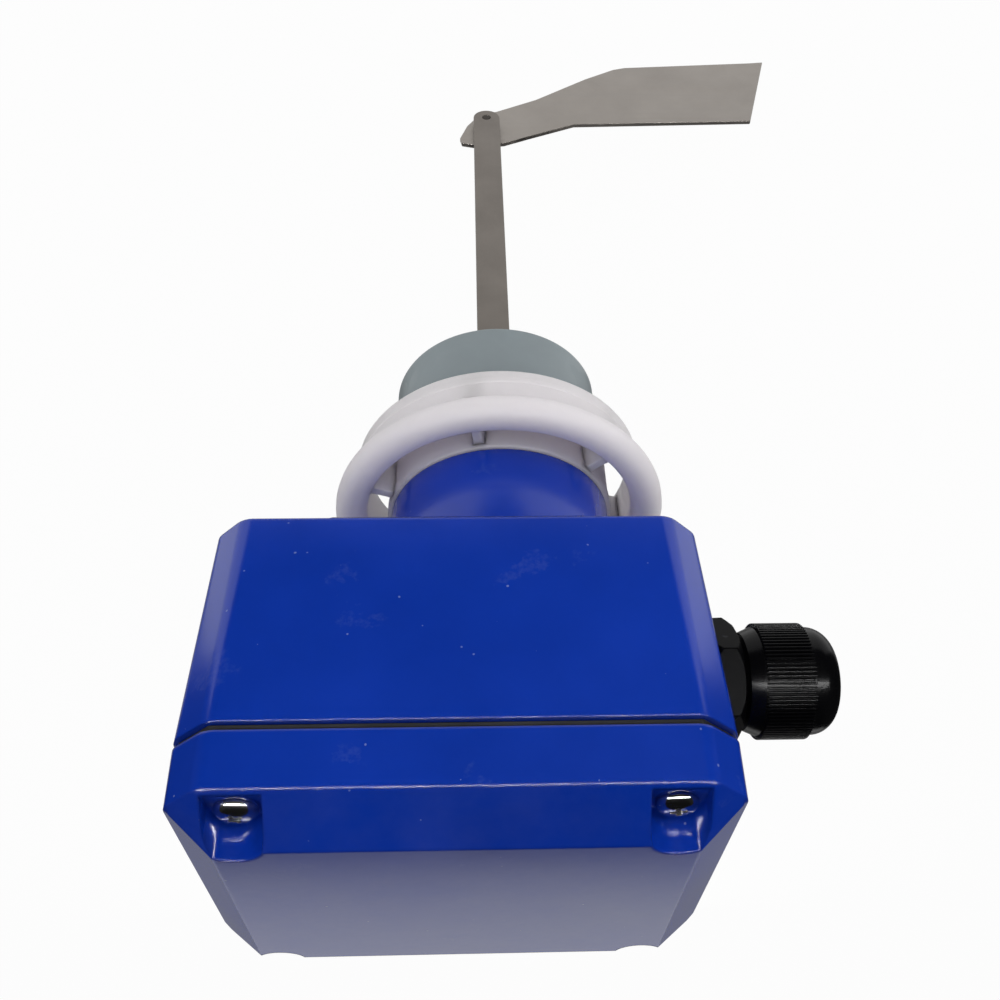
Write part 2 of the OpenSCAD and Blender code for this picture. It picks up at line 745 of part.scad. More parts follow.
module motor_gearbox() {
    color("darkgray") difference() {
        translate([case_off, 0, z_motor]) union() {
            cylinder(d = motor_d - 2, h = gear_h);
            for (turn = [45 : 90 : 315]) rotate(turn) translate([motor_d / 2 - 5, 0, 0])
                cylinder(r = 3.4, h = gear_h);
        }
        translate([0, 0, z_motor - 1]) cylinder(r = sleeve_r + 3, h = 3);
        translate([0, 0, z_motor - 1]) cylinder(r = neck_end_r + 0.3, h = spindle_in + 1.4);
        translate([case_off, 0, z_motor - 1]) for (turn = [45 : 90 : 315]) rotate(turn)
            translate([motor_d / 2 - 5, 0, 0]) cylinder(d = 3, h = 5, $fn = 24);
    }
}

module motor_can() {
    color("silver") {
        translate([case_off, 0, z_can]) cylinder(d = motor_d, h = motor_h - 1);
        translate([case_off, 0, z_can + motor_h - 1]) cylinder(d = motor_d - 4, h = 1);
        // Lead outlet on the shaft axis, where the swing moves it least
        translate([0, 0, z_motor_top - e]) cylinder(r = 4, h = 2);
    }
}

module motor_screws() {
    color("dimgray") translate([case_off, 0, z_swing]) for (turn = [45 : 90 : 315]) rotate(turn)
        translate([motor_d / 2 - 5, 0, 0]) rotate([180, 0, 0]) {
            cylinder(d = 5, h = 1.2, $fn = 32);
            translate([0, 0, -plate_t - 3]) cylinder(d = 3, h = plate_t + 3 + e, $fn = 24);
        }
}

module spring_posts() {
    color("silver") translate([spring_x, spring_y0 - anchor_r - wire_r - 0.1, z_plate + plate_t]) {
        cylinder(r = anchor_r, h = spring_z + 1.5 - z_plate - plate_t, $fn = 32);
        cylinder(r = 2 * anchor_r, h = 1, $fn = 32);
    }
}

module return_spring() {
    length = spring_y1 - spring_y0;
    steps = 12;
    hook = spring_r + 0.4;
    coil = length - 2 * hook;
    // From the hook at the post, through the coil, to the hook at the swing plate's anchor
    first = [for (turn = [180 : -30 : 30]) [0, hook - hook * sin(turn), hook * cos(turn)]];
    turns = [for (k = [0 : spring_turns * steps]) let (turn = k * 360 / steps)
        [spring_r * sin(turn), hook + coil * k / (spring_turns * steps), spring_r * cos(turn)]];
    last = [for (turn = [30 : 30 : 180]) [0, length - hook + hook * sin(turn), hook * cos(turn)]];
    color("gainsboro") translate([spring_x, spring_y0, spring_z])
        swept(concat(first, turns, last), wire_r, 6, [1, 0, 0]);
}

// Posts that end the swing plate's movement, at rest and at full swing
module swing_stop() {
    color("silver") {
        translate([stop_x, -arm_half - stop_r - stop_gap, z_plate + plate_t])
            cylinder(r = stop_r, h = stop_h, $fn = 32);
        rotate([0, 0, swing]) translate([stop_x, arm_back + stop_r + stop_gap, z_plate + plate_t])
            cylinder(r = stop_r, h = stop_h, $fn = 32);
    }
}

// Microswitch body, lying on its side, with ears for its lever towards -Y
module micro_switch(z) {
    translate([switch_x, switch_y, z]) difference() {
        union() {
            cube([switch_l, switch_w, switch_t]);
            for (up = [0, switch_t - ear_t])
                translate([pivot_x - switch_x - 1.5, tab_y + lever_rise - switch_y - 1.5, up])
                    cube([3, switch_y - tab_y - lever_rise + 1.5 + e, ear_t]);
        }
        translate([pivot_x - switch_x, tab_y + lever_rise - switch_y, -1])
            cylinder(r = 0.5 + run_clear, h = switch_t + 2, $fn = 24);
        for (x = [0.28, 0.76]) translate([switch_l * x, switch_w * 0.72, -1])
            cylinder(d = 2.4, h = switch_t + 2, $fn = 24);
        translate([pivot_x - plunger_back - switch_x, -1, switch_t / 2]) rotate([-90, 0, 0])
            cylinder(r = plunger_r + run_clear, h = 4, $fn = 24);
    }
}

module switch_lower() {
    color("#303036") micro_switch(switch_z1);
}

module switch_upper() {
    color("#303036") micro_switch(switch_z2);
}

module switch_lever(z) {
    wide = switch_t - 2 * ear_t - 0.2;
    reach = lever_arm / cos(lever_angle) + 1.5;
    translate([pivot_x, tab_y + lever_rise, z + ear_t + 0.1]) rotate([0, 0, 180 + lever_angle]) {
        translate([0, -lever_t, 0]) cube([reach, lever_t, wide]);
        cylinder(r = 0.8, h = wide, $fn = 24);
        // Pivot pin, which turns in the switch's ears
        translate([0, 0, -ear_t]) cylinder(r = 0.5, h = wide + 2 * ear_t, $fn = 24);
    }
}

module lever_lower() {
    color("silver") switch_lever(switch_z1);
}

module lever_upper() {
    color("silver") switch_lever(switch_z2);
}

module plunger(z) {
    out = switch_y - tab_y - lever_rise + (plunger_back - plunger_r) * tan(lever_angle)
        - lever_t / cos(lever_angle) - 0.1;
    translate([pivot_x - plunger_back, switch_y + 1.6, z + switch_t / 2]) rotate([90, 0, 0])
        cylinder(r = plunger_r, h = 1.6 + out, $fn = 24);
}

module plunger_lower() {
    color("firebrick") plunger(switch_z1);
}

module plunger_upper() {
    color("firebrick") plunger(switch_z2);
}

module switch_screws() {
    color("silver") for (x = [0.28, 0.76])
        translate([switch_x + switch_l * x, switch_y + switch_w * 0.72, z_plate + plate_t]) {
            cylinder(d = 2.3, h = switch_z2 + switch_t + 0.4 - z_plate - plate_t, $fn = 24);
            cylinder(d = 4.4, h = switch_z1 - z_plate - plate_t, $fn = 32);
            translate([0, 0, switch_z1 + switch_t - z_plate - plate_t])
                cylinder(d = 4.4, h = switch_z2 - switch_z1 - switch_t, $fn = 32);
            translate([0, 0, switch_z2 + switch_t - z_plate - plate_t]) cylinder(d = 4.4, h = 1.6, $fn = 32);
        }
}

module switch_terminals() {
    color("goldenrod") for (z = [switch_z1, switch_z2], x = [0.14, 0.5, 0.86])
        translate([switch_x + switch_l * x - 1.6, switch_y + switch_w, z + switch_t / 2 - 0.25])
            cube([3.2, 4.5, 0.5]);
}

module terminal_legs() {
    color("silver") for (sy = [-1, 1]) translate([block_x, sy * leg_y, z_plate + plate_t])
        cylinder(r = leg_r, h = board_z - z_plate - plate_t, $fn = 6);
}

module terminal_tray() {
    color("lightgray") translate([block_x, 0, board_z]) linear_extrude(plate_t) difference() {
        square([block_w - 3, block_l + 4], center = true);
        for (sy = [-1, 1]) translate([0, sy * leg_y]) circle(d = 2.4, $fn = 24);
    }
}

// Two rows of places for terminal screws, one pair at each pole
module terminal_places() {
    for (i = [0 : pole_count - 1], sx = [-1, 1])
        translate([sx * (block_w + block_core) / 4, -block_l / 2 + (i + 0.5) * pole_pitch + pole_wall / 2,
            block_h * 0.55]) children();
}

module terminal_block() {
    color("#38383c") translate([block_x, 0, board_z + plate_t]) difference() {
        union() {
            translate([-block_w / 2, -block_l / 2, 0]) cube([block_w, block_l, block_h * 0.55]);
            translate([-block_core / 2, -block_l / 2, 0]) cube([block_core, block_l, block_h]);
            for (i = [0 : pole_count]) translate([-block_w / 2, -block_l / 2 + i * pole_pitch, 0])
                cube([block_w, pole_wall, block_h]);
        }
        terminal_places() translate([0, 0, -3]) cylinder(d = 2.5, h = 5, $fn = 24);
        for (sy = [-1, 1]) translate([0, sy * leg_y, -1]) cylinder(d = 2.4, h = 6, $fn = 24);
    }
}

module terminal_screws() {
    color("silver") translate([block_x, 0, board_z + plate_t]) terminal_places() slot_screw(2.5, 2.5);
}

module tray_screws() {
    color("silver") for (sy = [-1, 1]) translate([block_x, sy * leg_y, board_z])
        cylinder(d = 2.3, h = plate_t + 4, $fn = 24);
}

module earth_screw() {
    color("goldenrod") translate([earth_x, earth_y, z_floor + 4]) pan_screw(4, 4.5);
}

module switch_leads() {
    end_y = switch_y + switch_w + 4.5;
    color("darkred") for (i = [0 : 2]) {
        from_x = switch_x + switch_l * (0.14 + 0.36 * i);
        pole_y = block_l / 2 - (i + 0.5) * block_l / pole_count;
        swept(curve([[from_x, end_y + lead_r, switch_z2 + switch_t / 2], [from_x, end_y + 2, switch_z2 + 6],
            [from_x - 3, end_y + 2, board_z + 2.6 * i], [case_off, end_y + 2, board_z + 2.6 * i],
            [-6 - 2 * i, pole_y + 4, board_z + 6], [block_x + block_w / 2 + 0.2, pole_y, board_z + 5]], 4),
            lead_r, 8, [1, 0, 0]);
    }
}

module motor_leads() {
    color("royalblue") for (i = [0 : 1]) {
        pole_y = -block_l / 2 + (i + 0.5) * block_l / pole_count;
        swept(curve([[0, 2.4 * i - 1.2, z_motor_top + 2.3], [0, 2.4 * i - 1.2, z_motor_top + 6],
            [-5, pole_y / 2, z_motor_top + 10], [-12, pole_y, board_z + 7],
            [block_x + block_w / 2 + 0.2, pole_y, board_z + 5]], 4), lead_r, 8, [1, 0, 0]);
    }
}

weld_socket();
hand_nut();
housing_base();
spigot_oring();
spigot_clip();
bearing_outer_rings();
bearing_inner_rings();
bearing_balls();
shaft_seal();
shaft();
shaft_circlip();
drive_sleeve();
sleeve_screws();
output_spindle();
shaft_bar();
bar_pin();
paddle_pin();
paddle_washer();
paddle();
lid_gasket();
lid();
lid_screws();
gland_washer();
gland_body();
gland_locknut();
gland_seal();
gland_cap();
mounting_plate();
plate_screws();
pivot_bush();
swing_plate();
motor_gearbox();
motor_can();
motor_screws();
spring_posts();
return_spring();
swing_stop();
switch_lower();
switch_upper();
lever_lower();
lever_upper();
plunger_lower();
plunger_upper();
switch_screws();
switch_terminals();
terminal_legs();
terminal_tray();
terminal_block();
terminal_screws();
tray_screws();
earth_screw();
switch_leads();
motor_leads();
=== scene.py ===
"""Looks of a rotary paddle level sensor for a silo roof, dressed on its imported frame."""

from __future__ import annotations

import logging
import math
from collections.abc import Callable, Iterable, Sequence
from dataclasses import dataclass
from enum import Enum
from functools import cache

import bmesh
import bpy
from mathutils import Matrix, Vector


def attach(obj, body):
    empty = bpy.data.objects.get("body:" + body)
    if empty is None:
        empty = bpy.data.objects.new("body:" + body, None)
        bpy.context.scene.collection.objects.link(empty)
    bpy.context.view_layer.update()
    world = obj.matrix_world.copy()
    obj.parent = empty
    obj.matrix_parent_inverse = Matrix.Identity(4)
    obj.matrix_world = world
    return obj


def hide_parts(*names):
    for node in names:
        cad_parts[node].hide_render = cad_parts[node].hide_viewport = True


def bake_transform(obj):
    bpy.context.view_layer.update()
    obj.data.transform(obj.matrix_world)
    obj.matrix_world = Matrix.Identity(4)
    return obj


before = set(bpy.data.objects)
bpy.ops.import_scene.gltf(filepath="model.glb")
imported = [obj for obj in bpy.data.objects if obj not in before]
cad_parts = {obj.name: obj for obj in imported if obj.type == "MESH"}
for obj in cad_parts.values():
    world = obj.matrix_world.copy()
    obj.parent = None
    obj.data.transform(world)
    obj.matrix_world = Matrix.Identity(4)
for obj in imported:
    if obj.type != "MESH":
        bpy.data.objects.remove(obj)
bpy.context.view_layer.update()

LOG = logging.getLogger("level_sensor")
MM = 0.001
CASE_X = 10.25  # Middle of the case along X, in millimetres
MERGE = 1e-7  # Distance in metres below which points of a mesh are the same
ROUTE_STEPS = 8  # Steps of a smooth route between two of its points
WHITE = (1.0, 1.0, 1.0, 1.0)

Point = tuple[float, float, float]
Color = tuple[float, float, float]
Mesh = bmesh.types.BMesh
Thing = bpy.types.Object
Tree = bpy.types.NodeTree
Node = bpy.types.Node
Socket = bpy.types.NodeSocket
InterfaceSocket = bpy.types.NodeTreeInterfaceSocket
Material = bpy.types.Material


class Body(Enum):
    """Moving bodies of the frame, by the names that the record gives them."""

    SOCKET = "socket"
    NUT = "nut"
    HOUSING = "housing"
    ROTOR = "rotor"
    VANE = "vane"
    COVER = "cover"
    CLAMP_NUT = "clamp_nut"
    DRIVE = "drive"
    LOWER_LEVER = "lower_lever"
    UPPER_LEVER = "upper_lever"
    LOWER_PLUNGER = "lower_plunger"
    UPPER_PLUNGER = "upper_plunger"


SoftRow = tuple[Body, str, dict[str, float]]


class Grain(Enum):
    """Ways in which a metal was worked, as stretches of its pattern along X, Y and Z."""

    ALONG_X = (0.04, 1.0, 1.0)
    ALONG_Z = (1.0, 1.0, 0.04)
    TURNED = (0.12, 0.12, 1.0)


# Shader tools


def srgb(red: int, green: int, blue: int) -> Color:
    """Turns a colour of 0 to 255 as a screen shows it into linear light."""
    shares = (red / 255, green / 255, blue / 255)
    return tuple(c / 12.92 if c <= 0.04045 else ((c + 0.055) / 1.055) ** 2.4 for c in shares)


def add_node(tree: Tree, kind: str, inputs: dict | None = None, **settings: object) -> Node:
    """Adds a node to a tree.

    Args:
        tree: The tree that gets the node.
        kind: Blender's name of the node's type.
        inputs: Values or sockets for the node's inputs, by name or number.
        settings: Properties of the node itself.

    Returns:
        The new node.
    """
    node = tree.nodes.new(kind)
    for name, value in settings.items():
        setattr(node, name, value)
    for name, value in (inputs or {}).items():
        if isinstance(value, Socket):
            tree.links.new(value, node.inputs[name])
        else:
            node.inputs[name].default_value = value
    return node


def blend_colors(mask: Socket, low: Socket | Color, high: Socket | Color) -> Socket:
    """Mixes two colours by a mask and returns the colour socket."""
    low, high = (c if isinstance(c, Socket) else (*c, 1.0) for c in (low, high))
    return add_node(mask.id_data, "ShaderNodeMix", {0: mask, 6: low, 7: high}, data_type="RGBA").outputs[2]


def spread(
    value: Socket, low: Socket | float, high: Socket | float, to_low: float = 0.0, to_high: float = 1.0
) -> Socket:
    """Maps a value from one range to another, held at both ends, and returns the socket."""
    ends = {"From Min": low, "From Max": high, "To Min": to_low, "To Max": to_high}
    return add_node(value.id_data, "ShaderNodeMapRange", {"Value": value, **ends}).outputs[0]


def arithmetic(operation: str, first: Socket | float, second: Socket | float) -> Socket:
    """Joins two values, of which one is a socket, by an operation and returns the socket."""
    tree = (first if isinstance(first, Socket) else second).id_data
    return add_node(tree, "ShaderNodeMath", {0: first, 1: second}, operation=operation).outputs[0]


def times(first: Socket, second: Socket | float) -> Socket:
    """Multiplies two values and returns the socket."""
    return arithmetic("MULTIPLY", first, second)


class EffectGroup:
    """A surface effect as a node group, while it is being made."""

    def __init__(self, name: str, **numbers: float) -> None:
        """Opens a group that reads a place.

        Args:
            name: Name of the group.
            numbers: Its input values by name, each with its start value.
        """
        self.tree = bpy.data.node_groups.new(name, "ShaderNodeTree")
        self._socket("Vector", "INPUT", "NodeSocketVector")
        for label, start in numbers.items():
            self._socket(label.capitalize(), "INPUT").default_value = start
        self.inputs = self.tree.nodes.new("NodeGroupInput").outputs

    def _socket(self, label: str, side: str, kind: str = "NodeSocketFloat") -> InterfaceSocket:
        """Adds a socket to one side of the group."""
        return self.tree.interface.new_socket(label, in_out=side, socket_type=kind)

    def noise(
        self, scale: Socket | float, detail: float, roughness: float = 0.5, output: str = "Fac"
    ) -> Socket:
        """Adds a noise on the group's own place and returns one of its outputs.

        Args:
            scale: Scale of the noise.
            detail: Its detail.
            roughness: Its roughness.
            output: Name of the wanted output.

        Returns:
            The output's socket.
        """
        values = {"Scale": scale, "Detail": detail, "Roughness": roughness}
        noise = add_node(self.tree, "ShaderNodeTexNoise", {"Vector": self.inputs["Vector"], **values})
        return noise.outputs[output]

    def closed(self, **results: Socket) -> Tree:
        """Gives the group its outputs by name and returns its tree.

        Args:
            results: Sockets inside the group, by the names of its outputs.

        Returns:
            The group's tree.
        """
        for label in results:
            self._socket(label.capitalize(), "OUTPUT")
        named = {label.capitalize(): socket for label, socket in results.items()}
        add_node(self.tree, "NodeGroupOutput", named)
        return self.tree


# Effects that several finishes share, each built once as a node group


@cache
def mottling() -> Tree:
    """Soft clouds of tone, as on any coated or moulded surface.

    Returns:
        The effect's node group.
    """
    group = EffectGroup("Mottling", scale=40.0, contrast=0.25)
    low = arithmetic("SUBTRACT", 0.5, group.inputs["Contrast"])
    high = arithmetic("ADD", 0.5, group.inputs["Contrast"])
    noise = group.noise(group.inputs["Scale"], 5.0, 0.6)
    return group.closed(mask=spread(noise, low, high))


@cache
def skin() -> Tree:
    """Fine unevenness of a skin, such as the orange peel of a paint, with a finer grit on it.

    Returns:
        The effect's node group.
    """
    group = EffectGroup("Skin", scale=500.0, grit=0.2)
    scale = group.inputs["Scale"]
    broad = group.noise(scale, 1.5)
    fine = group.noise(times(scale, 5.0), 3.0)
    grit = times(fine, group.inputs["Grit"])
    return group.closed(height=arithmetic("ADD", broad, grit))


@cache
def specks() -> Tree:
    """Scattered small specks of dust or chips, a few of them larger than the rest.

    Returns:
        The effect's node group.
    """
    group = EffectGroup("Specks", scale=220.0, share=0.1, size=0.16)
    tree, given = group.tree, group.inputs
    cells = add_node(tree, "ShaderNodeTexVoronoi", {"Vector": given["Vector"], "Scale": given["Scale"]})
    picked = add_node(tree, "ShaderNodeSeparateColor", {0: cells.outputs["Color"]})
    chosen = arithmetic("LESS_THAN", picked.outputs[0], given["Share"])
    ragged = spread(group.noise(900.0, 2.0), 0.3, 0.7, -0.06, 0.06)
    shaped = arithmetic("ADD", cells.outputs["Distance"], ragged)
    size = times(given["Size"], picked.outputs[1])
    edge = spread(shaped, size, times(size, 0.55))
    return group.closed(mask=times(chosen, edge))


@cache
def settled_dust() -> Tree:
    """Thin dust that lies on what faces up, broken into patches.

    Returns:
        The effect's node group.
    """
    group = EffectGroup("Settled dust", scale=30.0, amount=0.3)
    tree = group.tree
    facing = add_node(tree, "ShaderNodeNewGeometry").outputs["Normal"]
    parts = add_node(tree, "ShaderNodeSeparateXYZ", {0: facing})
    up = spread(parts.outputs["Z"], 0.35, 0.95)
    patches = spread(group.noise(group.inputs["Scale"], 6.0, 0.65), 0.4, 0.75)
    mask = times(up, patches)
    return group.closed(mask=times(mask, group.inputs["Amount"]))


@cache
def tool_marks() -> Tree:
    """Fine parallel lines, which run where the incoming place is stretched.

    Returns:
        The effect's node group.
    """
    group = EffectGroup("Tool marks", scale=2600.0)
    scale = group.inputs["Scale"]
    fine = group.noise(scale, 3.0, 0.6)
    wide = group.noise(times(scale, 0.16), 4.0)
    return group.closed(height=fine, tone=spread(wide, 0.3, 0.7))


@cache
def spangle() -> Tree:
    """Flat crystals of a zinc coat, each of its own tone.

    Returns:
        The effect's node group.
    """
    group = EffectGroup("Spangle", scale=180.0)
    tree, wobble_size = group.tree, 0.004
    wobble = group.noise(260.0, 3.0, output="Color")
    values = {0: wobble, 1: (wobble_size,) * 3, 2: group.inputs["Vector"]}
    moved = add_node(tree, "ShaderNodeVectorMath", values, operation="MULTIPLY_ADD").outputs[0]
    cells = add_node(tree, "ShaderNodeTexVoronoi", {"Vector": moved, "Scale": group.inputs["Scale"]})
    tone = add_node(tree, "ShaderNodeSeparateColor", {0: cells.outputs["Color"]})
    return group.closed(tone=tone.outputs[0])


@dataclass(frozen=True)
class Finish:
    """Base of every finish: the record's slot, the material's name, a screen colour and a roughness."""

    slot: str
    name: str
    screen: tuple[int, int, int]
    roughness: float

    def tone(self, share: float = 1.0) -> Color:
        """Gives the colour in linear light, made darker or lighter by a factor."""
        return tuple(min(1.0, c * share) for c in srgb(*self.screen))

    def build(self) -> Material:
        """Makes the material. Each finish has its own."""
        raise NotImplementedError


class Surface:
    """The material of a finish, while it is being made."""

    def __init__(self, finish: Finish, inputs: dict | None = None) -> None:
        """Starts a material.

        Args:
            finish: The finish that it is for.
            inputs: Plain values of the shader's inputs, by name.
        """
        self.finish = finish
        self.material = bpy.data.materials.new(finish.name)
        self.material.use_nodes = True
        self.material.diffuse_color = (*finish.tone(), 1.0)
        self.tree = self.material.node_tree
        self.shader = self.tree.nodes["Principled BSDF"]
        for name, value in (inputs or {}).items():
            self.shader.inputs[name].default_value = value
        self.place = add_node(self.tree, "ShaderNodeTexCoord").outputs["Object"]

    def effect(self, group: Tree, place: Socket | None = None, **values: float) -> bpy.types.NodeOutputs:
        """Lays a shared effect on the object's or another place, and returns its outputs.

        Args:
            group: The effect.
            place: What it reads, or None for the object's coordinates.
            values: Values of its inputs, by name.

        Returns:
            Its outputs.
        """
        node = add_node(self.tree, "ShaderNodeGroup", node_tree=group)
        self.tree.links.new(self.place if place is None else place, node.inputs["Vector"])
        for name, value in values.items():
            node.inputs[name.capitalize()].default_value = value
        return node.outputs

    def clouds(self, scale: float, contrast: float) -> Socket:
        """Lays soft clouds on the surface and returns their mask."""
        return self.effect(mottling(), scale=scale, contrast=contrast)["Mask"]

    def soiled(self, color: Socket, mark: Color, mask: Socket, at_low: float, at_high: float) -> Socket:
        """Lays a mark over a colour, with its shares where the mask is 0 and where it is 1."""
        return blend_colors(spread(mask, 0, 1, at_low, at_high), color, mark)

    def dusty(self, color: Socket, dust: Color, scale: float, amount: float) -> Socket:
        """Lays settled dust over a colour."""
        mask = self.effect(settled_dust(), scale=scale, amount=amount)["Mask"]
        return blend_colors(mask, color, dust)

    def rough(self, mask: Socket, low: float, high: float) -> Socket:
        """Varies the finish's roughness by a mask, between two shares of it."""
        base = self.finish.roughness
        return spread(mask, 0, 1, base * low, min(1.0, base * high))

    def finished(
        self, color: Socket, rough: Socket, height: Socket, depth_mm: float, edge_mm: float = 0.0
    ) -> Material:
        """Connects the shader and returns the material.

        Args:
            color: Its colour.
            rough: Its roughness.
            height: A height map that raises the surface.
            depth_mm: Depth of the height map in millimetres.
            edge_mm: Radius in millimetres by which edges look rounded, or 0 for sharp ones.

        Returns:
            The finished material.
        """
        depth = {"Height": height, "Strength": 1.0, "Distance": depth_mm * MM}
        bump = add_node(self.tree, "ShaderNodeBump", depth)
        if edge_mm > 0:
            soft = add_node(self.tree, "ShaderNodeBevel", {"Radius": edge_mm * MM}, samples=6)
            self.tree.links.new(soft.outputs[0], bump.inputs["Normal"])
        ends = {"Base Color": color, "Roughness": rough, "Normal": bump.outputs[0]}
        for name, socket in ends.items():
            self.tree.links.new(socket, self.shader.inputs[name])
        return self.material


@dataclass(frozen=True)
class GlossPaint(Finish):
    """Sprayed gloss paint on a casting, with a little orange peel, dust and small blemishes."""

    peel_mm: float = 0.004
    edge_mm: float = 0.8
    blemish: Color = (0.4, 0.52, 0.72)
    dust: Color = (0.5, 0.5, 0.5)

    def build(self) -> Material:
        """Makes the paint.

        Returns:
            The material.
        """
        work = Surface(self)
        clouds = work.clouds(scale=24.0, contrast=0.22)
        color = blend_colors(clouds, self.tone(0.86), self.tone(1.1))
        chips = work.effect(specks(), scale=420.0, share=0.16, size=0.13)["Mask"]
        color = work.soiled(color, self.blemish, chips, 0, 0.35)
        rubs = spread(work.clouds(scale=68.0, contrast=0.17), 0.92, 1.0, 0.0, 0.03)
        rubs = times(rubs, work.clouds(scale=900.0, contrast=0.12))
        color = work.dusty(blend_colors(rubs, color, self.blemish), self.dust, 40.0, 0.05)
        rough = arithmetic("ADD", work.rough(clouds, 0.85, 1.2), rubs)
        peel = work.effect(skin(), scale=420.0, grit=0.06)["Height"]
        height = arithmetic("ADD", peel, times(chips, 1.5))
        return work.finished(color, rough, height, self.peel_mm, self.edge_mm)


@dataclass(frozen=True)
class ZincCoat(Finish):
    """Dull zinc coat on steel, with faint crystals and darker handling marks."""

    metallic: float = 0.8
    crystal_scale: float = 170.0
    dark: float = 0.72

    def build(self) -> Material:
        """Makes the zinc coat.

        Returns:
            The material.
        """
        work = Surface(self, {"Metallic": self.metallic})
        crystals = work.effect(spangle(), scale=self.crystal_scale)["Tone"]
        dark = self.tone(self.dark)
        color = blend_colors(crystals, self.tone(0.92), self.tone())
        color = work.soiled(color, dark, work.clouds(scale=60.0, contrast=0.2), 0.35, 0)
        stain = work.effect(specks(), scale=90.0, share=0.12, size=0.2)["Mask"]
        color = work.soiled(color, dark, stain, 0, 0.35)
        grain = work.effect(skin(), scale=700.0, grit=0.4)["Height"]
        return work.finished(color, work.rough(crystals, 0.85, 1.15), grain, 0.004)


@dataclass(frozen=True)
class WorkedMetal(Finish):
    """Bare or bright plated metal that shows how it was drawn, turned or rolled."""

    grain: Grain
    relief_mm: float = 0.002
    stain: float = 0.2
    metallic: float = 1.0

    def build(self) -> Material:
        """Makes the metal.

        Returns:
            The material.
        """
        work = Surface(self, {"Metallic": self.metallic})
        stretch = {"Vector": work.place, "Scale": self.grain.value}
        stretched = add_node(work.tree, "ShaderNodeMapping", stretch).outputs[0]
        marks = work.effect(tool_marks(), stretched, scale=2400.0)
        clouds = work.clouds(scale=55.0, contrast=0.22)
        color = blend_colors(marks["Tone"], self.tone(0.86), self.tone())
        color = work.soiled(color, self.tone(0.6), clouds, self.stain, 0)
        blur = spread(clouds, 0, 1, self.stain * 0.4, 0)
        rough = arithmetic("ADD", work.rough(marks["Tone"], 0.8, 1.25), blur)
        return work.finished(color, rough, marks["Height"], self.relief_mm)


@dataclass(frozen=True)
class MouldedPlastic(Finish):
    """Moulded plastic with a fine skin, handling marks and a little dust."""

    skin_scale: float = 900.0
    relief_mm: float = 0.003
    marks: tuple[int, int, int] | None = None
    mark_share: float = 0.08
    dust: float = 0.03
    depth: float = 0.0
    shine: float = 0.5
    glow_mm: float = 10.0

    def build(self) -> Material:
        """Makes the plastic.

        Returns:
            The material.
        """
        inputs = {
            "Specular IOR Level": self.shine,
            "Subsurface Weight": self.depth,
            "Subsurface Radius": (1.0, 1.0, 1.0),
            "Subsurface Scale": self.glow_mm * MM,
        }
        work = Surface(self, inputs)
        clouds = work.clouds(scale=35.0, contrast=0.25)
        color = blend_colors(clouds, self.tone(0.93), self.tone())
        chips = work.effect(specks(), scale=150.0, share=self.mark_share, size=0.12)["Mask"]
        mark = srgb(*self.marks) if self.marks else (0.3, 0.3, 0.3)
        color = work.soiled(color, mark, chips, 0, 0.4)
        color = work.dusty(color, (0.45, 0.45, 0.44), 60.0, self.dust)
        grain = work.effect(skin(), scale=self.skin_scale, grit=0.3)["Height"]
        return work.finished(color, work.rough(clouds, 0.9, 1.15), grain, self.relief_mm)


@dataclass(frozen=True)
class SoftRubber(Finish):
    """Black rubber with a dull bloom."""

    def build(self) -> Material:
        """Makes the rubber.

        Returns:
            The material.
        """
        work = Surface(self)
        clouds = work.clouds(scale=90.0, contrast=0.2)
        bloom = tuple(c + 0.004 for c in self.tone(1.8))
        color = blend_colors(clouds, self.tone(), bloom)
        grain = work.effect(skin(), scale=1200.0, grit=0.5)["Height"]
        return work.finished(color, work.rough(clouds, 0.85, 1.2), grain, 0.004)


